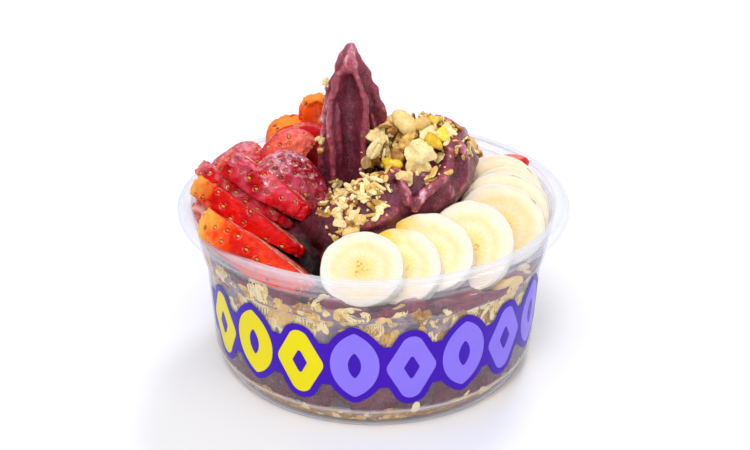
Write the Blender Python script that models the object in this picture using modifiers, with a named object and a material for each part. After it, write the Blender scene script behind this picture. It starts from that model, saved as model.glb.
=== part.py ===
"""Acai bowl: a clear deli bowl filled in layers, with fruit fanned round a piped acai swirl.

Sizes are in millimetres in the constants and are scaled to metres when a mesh is made.
The origin is on the bowl's axis at the table, +Z is up, and -Y is the front.
"""
import bmesh
import bpy
from math import cos, pi, radians, sin
from mathutils import Matrix, Vector

MM = 0.001
GAP = 0.35             # clearance between neighbouring solids
TURN = 40              # steps in a full turn of the bowl and of what fills it
OBJECT = "acai_bowl"

# ---------------------------------------------------------------- driving dimensions (mm)
RIM_R = 77.6           # outer edge of the lip
RIM_Z = 68.5           # top of the lip
WALL = 0.8             # wall thickness
FOOT_R = 62.5          # outer edge of the foot
RIDGE_R, RIDGE_Z = 65.9, 8.2       # where the foot's chamfer meets the wall
LEDGE_R, LEDGE_Z = 67.8, 47.0      # underside of the stacking ledge
LEDGE_OUT, LEDGE_RISE = 1.5, 1.2
NECK_R, NECK_Z = 71.6, 66.0        # wall just under the lip

BASE_TOP = 8.5         # crushed granola at the bottom
LOWER_TOP = 38.0       # frozen acai above it
MIDDLE_TOP = 50.5      # granola layer in the middle
MOUND_TOP = 72.0       # acai mound that carries the swirl
PEAK_BASE = (-7.9, 2.0, 66.0)
PEAK_TIP = (-8.6, 0.0, 130.6)
FINS = 6               # fins left by the star nozzle

BANANA_T = 6.2         # thickness of a banana slice

# Banana fan: face centre, heading of the face (0 is the front, + turns to +X), its lean,
# half width, half height and turn of the oval in its own plane.
BANANAS = (
    ((-4.5, -58.5, 65.2), -14, 42, 15.3, 13.8, 0),
    ((9.2, -54.0, 63.8), -14, 42, 15.2, 14.4, 0),
    ((19.6, -46.6, 65.4), -12, 42, 17.0, 14.8, -8),
    ((35.2, -39.0, 64.0), -8, 42, 16.4, 18.0, -10),
    ((48.5, -22.0, 64.5), -4, 32, 17.4, 16.0, -15),
    ((51.2, -12.6, 65.0), 0, 27, 17.6, 15.8, -15),
    ((52.5, -4.4, 63.8), 2, 24, 17.2, 15.6, -15),
    ((51.2, 3.8, 65.4), 4, 22, 17.2, 15.6, -15),
)

# Outline of a strawberry: share of the radius and share of the length, tip to stem.
BERRY_OUTLINE = ((0, .5), (.24, .465), (.50, .36), (.76, .18), (.95, -.04),
                 (1.0, -.20), (.90, -.37), (.55, -.48), (0, -.5))

# Strawberry pieces: name, middle of the whole berry, stem-to-tip direction, direction of the
# cut's normal, length, radius, and the two cuts along that normal (None leaves it round).
FAN_AXIS = (0.74, -0.65, -0.20)
FAN_CUT = (-0.57, -0.345, -0.744)
BERRIES = (
    ("slice_01", (-40.4, -43.5, 63.7), FAN_AXIS, FAN_CUT, 52, 17.0, -2.6, 9.0),
    ("slice_02", (-46.1, -23.8, 67.4), FAN_AXIS, FAN_CUT, 52, 17.0, -3.2, 3.2),
    ("slice_03", (-48.1, -13.1, 71.5), FAN_AXIS, FAN_CUT, 46, 15.0, -2.3, 2.1),
    ("slice_04", (-40.0, -16.6, 76.4), FAN_AXIS, FAN_CUT, 44, 15.5, -5.5, 4.1),
    ("cap_01", (-30.0, -12.0, 71.5), (0.80, -0.50, -0.33), (-0.45, -0.25, -0.857), 35, 15.2, None, 3.0),
    ("slice_05", (-58.0, -27.0, 58.0), (0.45, -0.72, -0.53), (-0.84, -0.50, 0.2), 40, 14.0, -3.5, 3.5),
    ("cap_02", (-56.0, 16.0, 67.6), (-0.92, 0.05, -0.38), (-0.2, 0.2, -0.96), 30, 13.0, None, 2.0),
    ("cap_03", (-35.3, 15.0, 75.0), (-0.35, 0.80, -0.48), (0.35, 0.45, -0.82), 30, 12.5, None, 2.0),
    ("slice_06", (-24.5, 21.0, 72.5), (0.85, 0.10, -0.5), (0.1, -0.95, 0.3), 32, 14.0, -4.0, 4.0),
    ("slice_07", (-33.0, 33.0, 71.0), (0.0, 0.2, -0.98), (0.2, -0.93, -0.25), 34, 12.0, -3.5, 3.5),
    ("slice_08", (-23.5, 31.0, 81.0), (0.05, 0.1, -0.99), (0.1, -0.95, -0.2), 34, 7.0, -3.0, 3.0),
    ("cap_04", (14.0, 37.0, 71.0), (0.6, 0.7, -0.38), (-0.2, -0.4, -0.9), 34, 14.0, None, 2.0),
    ("slice_09", (58.5, 26.0, 55.5), (0.3, 0.3, -0.9), (0.75, -0.6, 0.1), 32, 13.0, -3.5, 3.5),
    ("cap_05", (-18.0, 54.0, 64.0), (-0.75, 0.60, -0.25), (-0.1, -0.5, -0.86), 36, 14.5, None, 2.0),
    ("slice_10", (2.0, 53.0, 64.0), (0.75, 0.40, -0.5), (0.0, 0.75, -0.66), 40, 14.5, -4.0, 4.0),
    ("slice_11", (33.0, 48.0, 62.0), (0.75, -0.35, -0.5), (0.35, 0.75, -0.5), 38, 14.0, -4.0, 4.0),
)

# Rope of piped acai that sweeps round the mound: point on its centre line and its radius.
ROPE = (((-24, -37, 66), 7.0), ((-16, -35, 69), 9.5), ((-5, -31, 72), 12.0), ((7, -27, 75), 13.5),
        ((19, -20, 78), 13.6), ((28, -9, 81), 13.0), ((27, 4, 81), 12.5), ((18, 14, 79), 12.0),
        ((6, 18, 76), 11.5), ((-6, 16, 72), 10.5))

# Granola heaps: centre, three half sizes.
HEAPS = (
    ("granola_heap_upper", (17.0, -7.0, 90.5), (21.0, 13.5, 14.0)),
    ("granola_heap_front", (-9.0, -35.0, 77.5), (13.5, 10.0, 9.0)),
    ("granola_heap_back", (34.0, 19.0, 74.0), (12.0, 10.0, 9.0)),
)

COLOURS = {             # base colour, roughness
    "clear": ((0.93, 0.94, 0.96), 0.08),
    "granola": ((0.62, 0.42, 0.19), 0.75),
    "acai": ((0.10, 0.018, 0.035), 0.45),
    "banana": ((0.88, 0.78, 0.47), 0.45),
    "strawberry": ((0.68, 0.02, 0.015), 0.30),
}


# ---------------------------------------------------------------- scene and small helpers
def clear_scene():
    for obj in list(bpy.data.objects):
        bpy.data.objects.remove(obj, do_unlink=True)


def collection(name):
    found = bpy.data.collections.new(name)
    bpy.context.scene.collection.children.link(found)
    return found


def material(name):
    colour, roughness = COLOURS[name]
    mat = bpy.data.materials.new(name)
    mat.use_nodes = True
    shader = mat.node_tree.nodes["Principled BSDF"]
    shader.inputs["Base Color"].default_value = (*colour, 1)
    shader.inputs["Roughness"].default_value = roughness
    shader.inputs["Metallic"].default_value = 0
    if name == "clear":
        shader.inputs["Alpha"].default_value = 0.25
    return mat


def add(name, bm, mat=None):
    """A mesh object from a bmesh in millimetres; without a material it is a cutter."""
    bmesh.ops.scale(bm, vec=(MM, MM, MM), verts=bm.verts)
    bmesh.ops.recalc_face_normals(bm, faces=bm.faces)
    mesh = bpy.data.meshes.new(name)
    bm.to_mesh(mesh)
    bm.free()
    obj = bpy.data.objects.new(name, mesh)
    if mat:
        mesh.materials.append(mat)
        PARTS.objects.link(obj)
    else:
        obj.hide_render = True
        obj.display_type = 'WIRE'
        CUTTERS.objects.link(obj)
    return obj


def profile_object(name, points, steps, mat=None):
    """A turned solid: a profile at +X, given from the top down its outer side."""
    bm = bmesh.new()
    verts = [bm.verts.new((r, 0, z)) for r, z in points]
    for a, b in zip(verts, verts[1:]):
        bm.edges.new((a, b))
    obj = add(name, bm, mat)
    screw = obj.modifiers.new("turn", 'SCREW')
    screw.steps = screw.render_steps = steps
    screw.use_merge_vertices = True
    screw.merge_threshold = 0.00001
    return obj


def cut(obj, other, operation='DIFFERENCE', solver='EXACT'):
    mod = obj.modifiers.new(operation.lower(), 'BOOLEAN')
    mod.operation = operation
    mod.solver = solver
    mod.object = other


def settle(obj):
    """Bake the modifiers, weld, and keep only the largest connected piece."""
    graph = bpy.context.evaluated_depsgraph_get()
    mesh = bpy.data.meshes.new_from_object(obj.evaluated_get(graph))
    obj.modifiers.clear()
    bm = bmesh.new()
    bm.from_mesh(mesh)
    bmesh.ops.remove_doubles(bm, verts=bm.verts, dist=0.000004)
    bmesh.ops.dissolve_limit(bm, angle_limit=radians(0.2), verts=bm.verts, edges=bm.edges)
    bmesh.ops.triangulate(bm, faces=bm.faces)
    islands = []
    left = set(bm.verts)
    while left:
        start = min(left, key=lambda v: v.index)
        group, stack = {start}, [start]
        while stack:
            for edge in stack.pop().link_edges:
                for vert in edge.verts:
                    if vert not in group:
                        group.add(vert)
                        stack.append(vert)
        left -= group
        islands.append(group)
    islands.sort(key=len, reverse=True)
    for group in islands[1:]:
        bmesh.ops.delete(bm, geom=list(group), context='VERTS')
    bm.to_mesh(mesh)
    bm.free()
    old = obj.data
    mesh.name = old.name
    obj.data = mesh
    bpy.data.meshes.remove(old)


def frame_from(z_axis, x_axis, place):
    """A matrix whose Z follows z_axis and whose X leans as near x_axis as it can."""
    z = Vector(z_axis).normalized()
    x = Vector(x_axis)
    x = (x - x.dot(z) * z).normalized()
    y = z.cross(x)
    turn = Matrix((x, y, z)).transposed().to_4x4()
    return Matrix.Translation(Vector(place) * MM) @ turn


def loft(name, sections, mat=None):
    """A closed solid through sections of equal length, its ends closed by a fan."""
    bm = bmesh.new()
    rows = [[bm.verts.new(p) for p in ring] for ring in sections]
    count = len(rows[0])
    for low, high in zip(rows, rows[1:]):
        for i in range(count):
            j = (i + 1) % count
            bm.faces.new((low[i], low[j], high[j], high[i]))
    for ring in (rows[0], rows[-1]):
        middle = bm.verts.new(sum((v.co for v in ring), Vector()) / count)
        for i in range(count):
            bm.faces.new((ring[i], ring[(i + 1) % count], middle))
    return add(name, bm, mat)


def wave(x, y, size, length, phase=0.0):
    """Gentle unevenness of a layer, from a few crossed waves."""
    k = 2 * pi / length
    return size * (sin(k * x + phase) * cos(k * y * 0.9 - phase * 1.7)
                   + 0.55 * sin(k * 1.9 * (x + 0.6 * y) + 2.1 * phase)
                   + 0.45 * cos(k * 2.3 * (y - 0.5 * x) - phase)) / 2


# ---------------------------------------------------------------- bowl
def inner_wall():
    """Inside of the bowl, from the neck down to the floor."""
    return [(NECK_R + 0.4, NECK_Z + 2.2), (NECK_R - WALL, NECK_Z),
            (LEDGE_R + LEDGE_OUT - WALL, LEDGE_Z + LEDGE_RISE + 0.4),
            (LEDGE_R - WALL, LEDGE_Z + 0.3), (RIDGE_R - WALL, RIDGE_Z + 0.2),
            (FOOT_R - 1.5, 0.9 + WALL), (0, 0.9 + WALL)]


def make_bowl():
    lip = [(NECK_R + 0.7, RIM_Z), (RIM_R - 2.7, RIM_Z - 0.1), (RIM_R - 2.1, RIM_Z - 1.2),
           (RIM_R - 0.6, RIM_Z - 1.5), (RIM_R, RIM_Z - 2.3), (RIM_R - 0.2, RIM_Z - 3.7),
           (RIM_R - 0.9, RIM_Z - 3.7), (RIM_R - 1.2, RIM_Z - 2.4), (RIM_R - 2.7, RIM_Z - 2.1),
           (RIM_R - 3.3, RIM_Z - 0.95), (NECK_R + 1.0, RIM_Z - 0.9)]
    outside = [(NECK_R, NECK_Z), (LEDGE_R + LEDGE_OUT, LEDGE_Z + LEDGE_RISE),
               (LEDGE_R, LEDGE_Z), (RIDGE_R, RIDGE_Z), (FOOT_R, 0), (FOOT_R - 2, 0),
               (FOOT_R - 3, 0.9), (0, 0.9)]
    profile = inner_wall()[::-1] + lip + outside
    return profile_object("bowl", profile, TURN, MATS["clear"])


def make_room():
    """The free space inside the bowl and above it, less the clearance."""
    inside = [(r - GAP, z + (GAP if z < 5 else 0)) for r, z in inner_wall()[:-1]]
    profile = [(0, 150), (75, 150), (NECK_R + 0.7, RIM_Z + 1.5)] + inside + [(0, 0.9 + WALL + GAP)]
    return profile_object("bowl_room", profile, TURN)


# ---------------------------------------------------------------- layers
def base_top(x, y):
    return BASE_TOP + wave(x, y, 1.5, 34, 0.4)


def lower_top(x, y):
    return LOWER_TOP + wave(x, y, 2.6, 40, 1.3)


def middle_top(x, y):
    """The granola layer lies higher at the front left than at the right."""
    return MIDDLE_TOP - 0.062 * x - 0.02 * y + wave(x, y, 2.2, 30, 2.2)


def mound_top(x, y):
    """Acai over the granola: low at the wall, rising to a mound in the middle."""
    r = (x * x + y * y) ** 0.5
    rise = max(0.0, 1 - (r / 61) ** 2.4)
    edge = middle_top(x, y) + 3.0
    return edge + (MOUND_TOP - edge) * rise + wave(x, y, 1.0, 27, 3.1) * min(1, r / 30)


def split_quads(bm):
    """Split each quad by a rule of its plan view, so facing layers get matching triangles."""
    for face in [f for f in bm.faces if len(f.verts) == 4]:
        a, b, c, d = face.verts
        one, two = (a.co + c.co) / 2, (b.co + d.co) / 2
        pair = (b, d) if one.x * two.y > one.y * two.x else (a, c)
        bmesh.utils.face_split(face, *pair)


def layer(name, bottom, top, mat=None):
    """A disc whose two faces follow the height functions, trimmed to the bowl's inside."""
    radii = (76, 60, 43, 24)
    outline = [(0, 1)] + [(r, 1) for r in radii[::-1]] + [(r, 0) for r in radii] + [(0, 0)]
    bm = bmesh.new()
    verts = [bm.verts.new((r, 0, z)) for r, z in outline]
    edges = [bm.edges.new(pair) for pair in zip(verts, verts[1:])]
    bmesh.ops.spin(bm, geom=verts + edges, cent=(0, 0, 0), axis=(0, 0, 1), angle=2 * pi,
                   steps=TURN, use_merge=True, use_duplicate=False)
    bmesh.ops.remove_doubles(bm, verts=bm.verts, dist=0.001)
    for vert in bm.verts:
        x, y, side = vert.co
        vert.co.z = top(x, y) if side > 0.5 else bottom(x, y)
    split_quads(bm)
    obj = add(name, bm, mat)
    cut(obj, ROOM, 'INTERSECT')
    return obj


def over(height):
    return lambda x, y: height(x, y) + GAP


def make_layers():
    base = layer("granola_base", lambda x, y: 0.0, base_top, MATS["granola"])
    lower = layer("acai_lower", over(base_top), lower_top, MATS["acai"])
    middle = layer("granola_middle", over(lower_top), middle_top, MATS["granola"])
    return base, lower, middle


# ---------------------------------------------------------------- fruit
def banana(name, row, mat=None, grow=0.0):
    centre, heading, lean, half_w, half_h, turn = row
    h, e = radians(heading), radians(lean)
    normal = Vector((sin(h) * cos(e), -cos(h) * cos(e), sin(e)))
    bm = bmesh.new()
    bmesh.ops.create_cone(bm, cap_ends=True, segments=18, radius1=1, radius2=1,
                          depth=BANANA_T + 2 * grow)
    bmesh.ops.scale(bm, vec=(half_w + grow, half_h + grow, 1), verts=bm.verts)
    bmesh.ops.rotate(bm, matrix=Matrix.Rotation(radians(turn), 3, 'Z'), verts=bm.verts)
    obj = add(name, bm, mat)
    side = Vector((0, 0, 1)).cross(normal)
    obj.matrix_world = frame_from(normal, side, Vector(centre) - normal * BANANA_T / 2)
    if mat:
        bevel = obj.modifiers.new("soft_edge", 'BEVEL')
        bevel.width = 0.7 * MM
        bevel.segments = 1
        bevel.limit_method = 'ANGLE'
    return obj


def strawberry(name, row, mat=None, grow=0.0):
    """A turned berry, cut by one or two planes square to the cut direction."""
    _, centre, axis, normal, length, radius, low, high = row
    points = [(r * (radius + grow), z * (length + 2 * grow)) for r, z in BERRY_OUTLINE]
    obj = profile_object(name, points, 12, mat)
    place = frame_from(axis, normal, centre)
    obj.matrix_world = place
    low = -radius - 5 if low is None else low - grow
    high = radius + 5 if high is None else high + grow
    bm = bmesh.new()
    bmesh.ops.create_cube(bm, size=1)
    bmesh.ops.scale(bm, vec=(high - low, 90, 90), verts=bm.verts)
    bmesh.ops.translate(bm, vec=((high + low) / 2, 0, 0), verts=bm.verts)
    slab = add(name + "_slab", bm)
    slab.matrix_world = place
    cut(obj, slab, 'INTERSECT')
    return obj


def make_fruit():
    """Every fruit piece, each one kept clear of the pieces placed before it."""
    fruit, grown = [], []
    rows = [(banana, f"banana_{i + 1:02d}", row, Vector(row[0]), 19, "banana")
            for i, row in enumerate(BANANAS)]
    rows += [(strawberry, "strawberry_" + row[0], row, Vector(row[1]), max(row[4] / 2, row[5]),
              "strawberry") for row in BERRIES]
    for maker, name, row, centre, reach, look in rows:
        obj = maker(name, row, MATS[look])
        for other, other_centre, other_reach in grown:
            if (centre - other_centre).length < reach + other_reach:
                cut(obj, other)
        cut(obj, ROOM, 'INTERSECT')
        fruit.append(obj)
        grown.append((maker(name + "_clear", row, None, GAP), centre, reach))
    return fruit, [g[0] for g in grown]


# ---------------------------------------------------------------- swirl and granola heaps
def star(radius, angle, depth, twist):
    """Radius of the star-shaped section at an angle."""
    return radius * (1 - depth * (0.5 - 0.5 * cos(FINS * (angle - twist))))


def ring(centre, u, v, radius, depth=0.30, twist=0.0, count=2 * FINS):
    centre, points = Vector(centre), []
    for i in range(count):
        a = twist + 2 * pi * i / count
        r = star(radius, a, depth, twist)
        points.append(centre + u * (r * cos(a)) + v * (r * sin(a)))
    return points


def make_rope():
    points = [Vector(p) for p, _ in ROPE]
    sections = []
    for i, (point, radius) in enumerate(ROPE):
        ahead = points[min(i + 1, len(points) - 1)] - points[max(i - 1, 0)]
        u = ahead.cross(Vector((0, 0, 1))).normalized()
        v = u.cross(ahead).normalized()
        sections.append(ring(point, u, v, radius, 0.20, radians(10 * i)))
    return loft("rope", sections)


def make_peak():
    base, tip = Vector(PEAK_BASE), Vector(PEAK_TIP)
    x, y = Vector((1, 0, 0)), Vector((0, 1, 0))
    sections = []
    for share, radius in ((0, 13.8), (.22, 13.5), (.42, 13.1), (.58, 12.3), (.68, 11.1),
                          (.80, 8.2), (.88, 5.8), (.94, 3.8), (.98, 2.0), (1, 0.6)):
        sections.append(ring(base.lerp(tip, share), x, y, radius, 0.34, radians(-12)))
    return loft("peak", sections)


def heap(name, centre, half, mat=None, grow=0.0):
    """A lumpy mound: an icosphere whose surface goes in and out."""
    bm = bmesh.new()
    bmesh.ops.create_icosphere(bm, subdivisions=3 if max(half) > 15 else 2, radius=1)
    for vert in bm.verts:
        d = vert.co.copy()
        lump = 1 + 0.10 * sin(5 * d.x + 3 * d.y) * cos(4 * d.z - 2 * d.x) + 0.07 * sin(7 * d.y + 4 * d.z)
        vert.co = Vector([d[i] * (half[i] * lump + grow) for i in range(3)])
    bmesh.ops.translate(bm, vec=centre, verts=bm.verts)
    return add(name, bm, mat)


def main():
    make_bowl()
    base, lower, middle = make_layers()
    fruit, clear = make_fruit()

    swirl = layer("acai_swirl", over(middle_top), mound_top, MATS["acai"])
    cut(swirl, make_rope(), 'UNION', 'MANIFOLD')
    cut(swirl, make_peak(), 'UNION', 'MANIFOLD')
    heaps = []
    for name, centre, half in HEAPS:
        pile = heap(name, centre, half, MATS["granola"])
        for other in clear:
            cut(pile, other)
        heaps.append(pile)
        cut(swirl, heap(name + "_clear", centre, half, None, GAP), solver='MANIFOLD')
    for other in clear:
        cut(swirl, other, solver='MANIFOLD')
        cut(middle, other)
    for obj in [base, lower, middle, swirl, *fruit, *heaps]:
        settle(obj)


clear_scene()
PARTS = collection(OBJECT)
CUTTERS = collection("cutters")
MATS = {name: material(name) for name in COLOURS}
ROOM = make_room()
main()
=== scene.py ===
"""Looks of the acai bowl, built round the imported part.

Lengths are in millimetres, in the part's own frame: the origin is under the bowl, +Z is up and
-Y is the front. The rows of fruit, rope and peak repeat the part's own, and the rest is worked
out from the boxes and meshes of the frame's nodes.
"""

from math import cos, pi, radians, sin

import bpy
import numpy as np
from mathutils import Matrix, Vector
from mathutils.bvhtree import BVHTree


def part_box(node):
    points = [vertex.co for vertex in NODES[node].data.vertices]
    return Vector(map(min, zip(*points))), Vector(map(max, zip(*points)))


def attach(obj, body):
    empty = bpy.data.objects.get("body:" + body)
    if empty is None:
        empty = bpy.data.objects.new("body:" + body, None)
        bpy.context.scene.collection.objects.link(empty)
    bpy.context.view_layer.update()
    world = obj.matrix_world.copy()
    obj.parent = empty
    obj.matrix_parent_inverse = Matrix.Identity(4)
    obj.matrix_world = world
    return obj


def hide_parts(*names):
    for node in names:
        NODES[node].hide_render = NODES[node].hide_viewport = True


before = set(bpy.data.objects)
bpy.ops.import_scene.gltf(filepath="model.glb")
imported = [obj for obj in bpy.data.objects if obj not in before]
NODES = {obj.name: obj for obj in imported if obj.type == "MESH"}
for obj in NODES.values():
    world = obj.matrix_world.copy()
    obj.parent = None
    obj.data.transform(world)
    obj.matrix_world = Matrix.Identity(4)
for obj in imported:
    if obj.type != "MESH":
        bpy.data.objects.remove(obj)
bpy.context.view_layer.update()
MM = 0.001


# ======== driving dimensions
def node_box(name):
    low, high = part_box(name)
    return np.array(low) / MM, np.array(high) / MM


RIM_R, RIM_Z = node_box("bowl")[1][0], node_box("bowl")[1][2]
WALL = 0.8                                   # thickness of the bowl's wall
FOOT_R = RIM_R - 15.1                        # outer edge of the foot
RIDGE_R, RIDGE_Z = RIM_R - 11.7, 8.2         # where the foot's chamfer meets the wall
LEDGE_R, LEDGE_Z = RIM_R - 9.8, RIM_Z - 21.5  # underside of the stacking ledge
LEDGE_OUT, LEDGE_RISE = 1.5, 1.2
BEADS, BEAD = (8.5, 6.0, 4.2), 0.35          # depths of the fine rings below the rim, and their size
NECK_R, NECK_Z = RIM_R - 6.0, RIM_Z - 2.5    # wall just under the lip
FLOOR_Z = 0.9 + WALL                         # inside of the bowl's floor

BASE_TOP, LOWER_TOP, MIDDLE_TOP, MOUND_TOP = 8.5, 38.0, 50.5, 72.0
PRESS = 0.12                                 # how far the filling reaches into the wall
DIP_AT, DIP_DEPTH, DIP_R = (-25.0, -45.5), 17.0, 11.0   # hollow between the strawberries and the bananas

INSIDE = ((FOOT_R - 1.5, FLOOR_Z), (RIDGE_R - WALL, RIDGE_Z + 0.2),
          (LEDGE_R - WALL, LEDGE_Z + 0.3),
          (LEDGE_R + LEDGE_OUT - WALL, LEDGE_Z + LEDGE_RISE + 0.4),
          (NECK_R - WALL, NECK_Z), (NECK_R + 0.4, NECK_Z + 2.2))
OUTSIDE = ((FOOT_R, 0), (RIDGE_R, RIDGE_Z), (LEDGE_R, LEDGE_Z),
           (LEDGE_R + LEDGE_OUT, LEDGE_Z + LEDGE_RISE), (NECK_R, NECK_Z))


def radius_at(profile, z):
    return np.interp(z, [p[1] for p in profile], [p[0] for p in profile])


# ======== small maths
def unit(v):
    v = np.asarray(v, float)
    return v / np.linalg.norm(v, axis=-1, keepdims=True)


def lattice(i, j, k, seed):
    """A repeatable value from -1 to 1 for each whole-number cell corner."""
    n = (i * 374761393 + j * 668265263 + k * 974634777 + seed * 1274126177) & 0xFFFFFFFF
    n = ((n ^ (n >> 13)) * 1274126177) & 0xFFFFFFFF
    return ((n ^ (n >> 16)) & 0xFFFF) / 32767.5 - 1


def noise(points, size, seed=0):
    """Smooth noise from -1 to 1 at points (N, 3), in cells of the given size."""
    q = np.asarray(points, float) / size
    cell = np.floor(q).astype(np.int64)
    f = q - cell
    f = f * f * (3 - 2 * f)
    total = 0
    for dx in (0, 1):
        for dy in (0, 1):
            for dz in (0, 1):
                weight = (np.where(dx, f[..., 0], 1 - f[..., 0])
                          * np.where(dy, f[..., 1], 1 - f[..., 1])
                          * np.where(dz, f[..., 2], 1 - f[..., 2]))
                total = total + weight * lattice(cell[..., 0] + dx, cell[..., 1] + dy,
                                                 cell[..., 2] + dz, seed)
    return total


def fractal(points, size, octaves=3, seed=0):
    return sum(noise(points, size / 2 ** o, seed + 17 * o) / 2 ** o for o in range(octaves))


def spline(points, count):
    """A smooth curve through the points, with count samples."""
    p = np.asarray(points, float)
    p = np.vstack([2 * p[0] - p[1], p, 2 * p[-1] - p[-2]])
    t = np.linspace(0, len(p) - 3, count)
    i = np.minimum(t.astype(int), len(p) - 4)
    f = (t - i)[:, None]
    a, b, c, d = p[i], p[i + 1], p[i + 2], p[i + 3]
    return 0.5 * (2 * b + (c - a) * f + (2 * a - 5 * b + 4 * c - d) * f ** 2
                  + (3 * b - a - 3 * c + d) * f ** 3)


def wave(x, y, size, length, phase=0.0):
    """The part's own gentle unevenness of a layer."""
    k = 2 * pi / length
    return size * (np.sin(k * x + phase) * np.cos(k * y * 0.9 - phase * 1.7)
                   + 0.55 * np.sin(k * 1.9 * (x + 0.6 * y) + 2.1 * phase)
                   + 0.45 * np.cos(k * 2.3 * (y - 0.5 * x) - phase)) / 2


def base_top(x, y):
    return BASE_TOP + wave(x, y, 1.5, 34, 0.4)


def lower_top(x, y):
    return LOWER_TOP + wave(x, y, 2.6, 40, 1.3)


def middle_top(x, y):
    return MIDDLE_TOP - 0.062 * x - 0.02 * y + wave(x, y, 2.2, 30, 2.2)


def dip(x, y):
    """How deep in the mound's hollow a place is, from 0 to 1."""
    return np.exp(-((x - DIP_AT[0]) ** 2 + (y - DIP_AT[1]) ** 2) / DIP_R ** 2)


def mound_top(x, y):
    r = np.hypot(x, y)
    rise = np.maximum(0, 1 - (r / 61) ** 2.4)
    edge = middle_top(x, y) + 3.0
    return (edge + (MOUND_TOP - edge) * rise + wave(x, y, 1.0, 27, 3.1) * np.minimum(1, r / 30)
            - DIP_DEPTH * dip(x, y) * np.minimum(1, rise * 2))


# ======== meshes
def mesh_object(name, points, rows):
    """A mesh object from points in mm and rows of corner indices."""
    data = bpy.data.meshes.new(name)
    data.from_pydata((np.asarray(points) * MM).tolist(), [], rows)
    obj = bpy.data.objects.new(name, data)
    bpy.context.scene.collection.objects.link(obj)
    return obj


def coordinates(data):
    """A mesh's points in mm."""
    co = np.zeros(len(data.vertices) * 3)
    data.vertices.foreach_get("co", co)
    return co.reshape(-1, 3) / MM


def piece(name, points, faces, mat, shares=None, smooth=True):
    """A mesh object from points in mm and lists of faces, with float attributes for its look."""
    obj = mesh_object(name, points, [row for part in faces for row in np.asarray(part).tolist()])
    data = obj.data
    data.materials.append(mat)
    for key, values in (shares or {}).items():
        values = np.asarray(values, np.float32)
        if values.ndim == 2:
            data.attributes.new(key, 'FLOAT_VECTOR', 'POINT').data.foreach_set("vector", values.ravel())
        else:
            data.attributes.new(key, 'FLOAT', 'POINT').data.foreach_set("value", values)
    if smooth:
        data.polygons.foreach_set("use_smooth", [True] * len(data.polygons))
    data.update()
    return obj


def place(obj, slot, *nodes):
    """The piece rides on the bowl and stands for CAD nodes; the slot is not used."""
    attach(obj, "root")
    if nodes:
        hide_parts(*nodes)
    return obj


def tube_faces(rows, count, first=0):
    """Quads between rows of count points that close round."""
    i = np.arange(rows - 1)[:, None] * count + first
    j = np.arange(count)[None, :]
    k = (j + 1) % count
    return np.stack([i + j, i + k, i + count + k, i + count + j], -1).reshape(-1, 4)


def skin(rings, *extras):
    """Points and faces of a closed skin through rings (M, N, 3), its ends closed by fans.
    Each extra (M, N) array comes back as one value for each point."""
    m, n = rings.shape[:2]
    ends = np.array([rings[0].mean(0), rings[-1].mean(0)])
    points = np.vstack([rings.reshape(-1, 3), ends])
    j = np.arange(n)
    low = np.stack([(j + 1) % n, j, np.full(n, m * n)], -1)
    high = np.stack([j, (j + 1) % n, np.full(n, m * n + 1)], -1)
    high[:, :2] += (m - 1) * n
    values = [np.concatenate([e.ravel(), [e[0].mean(), e[-1].mean()]]) for e in extras]
    return (points, [tube_faces(m, n), low, high], *values)


def ring_normals(rings):
    """Outward normals of a skin through rings, by the differences between neighbours."""
    round_ = np.roll(rings, -1, 1) - np.roll(rings, 1, 1)
    along = np.gradient(rings, axis=0)
    n = np.cross(round_, along)
    length = np.linalg.norm(n, axis=-1, keepdims=True)
    return n / np.maximum(length, 1e-9)


def ball(rows, count):
    """A unit sphere as rings, pole to pole."""
    a = np.linspace(0.12, pi - 0.12, rows)[:, None]
    b = np.linspace(0, 2 * pi, count, endpoint=False)[None, :]
    return np.stack([np.sin(a) * np.cos(b), np.sin(a) * np.sin(b),
                     np.broadcast_to(-np.cos(a), (rows, count))], -1)


def inside_bowl(points, room=-PRESS):
    """Points moved in where they would pass the inside of the wall."""
    points = points.copy()
    r = np.hypot(points[..., 0], points[..., 1])
    limit = np.where(points[..., 2] < RIM_Z + 1, radius_at(INSIDE, points[..., 2]) - room, 1e9)
    share = np.minimum(1, limit / np.maximum(r, 1e-9))
    points[..., :2] *= share[..., None]
    points[..., 2] = np.maximum(points[..., 2], FLOOR_Z - PRESS)
    return points


# ======== materials
def srgb(r, g, b):
    """The linear colour of a screen colour given from 0 to 255, as all colours here are."""
    c = np.array([r, g, b]) / 255
    return (*np.where(c <= 0.04045, c / 12.92, ((c + 0.055) / 1.055) ** 2.4), 1)


class Term:
    """A value in a look's node tree, with arithmetic that adds Math nodes."""

    def __init__(self, look, socket):
        self.look, self.socket = look, socket

    def __add__(self, other):
        return self.look.math('ADD', self, other)

    def __sub__(self, other):
        return self.look.math('SUBTRACT', self, other)

    def __mul__(self, other):
        return self.look.math('MULTIPLY', self, other)

    def __truediv__(self, other):
        return self.look.math('DIVIDE', self, other)


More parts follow.
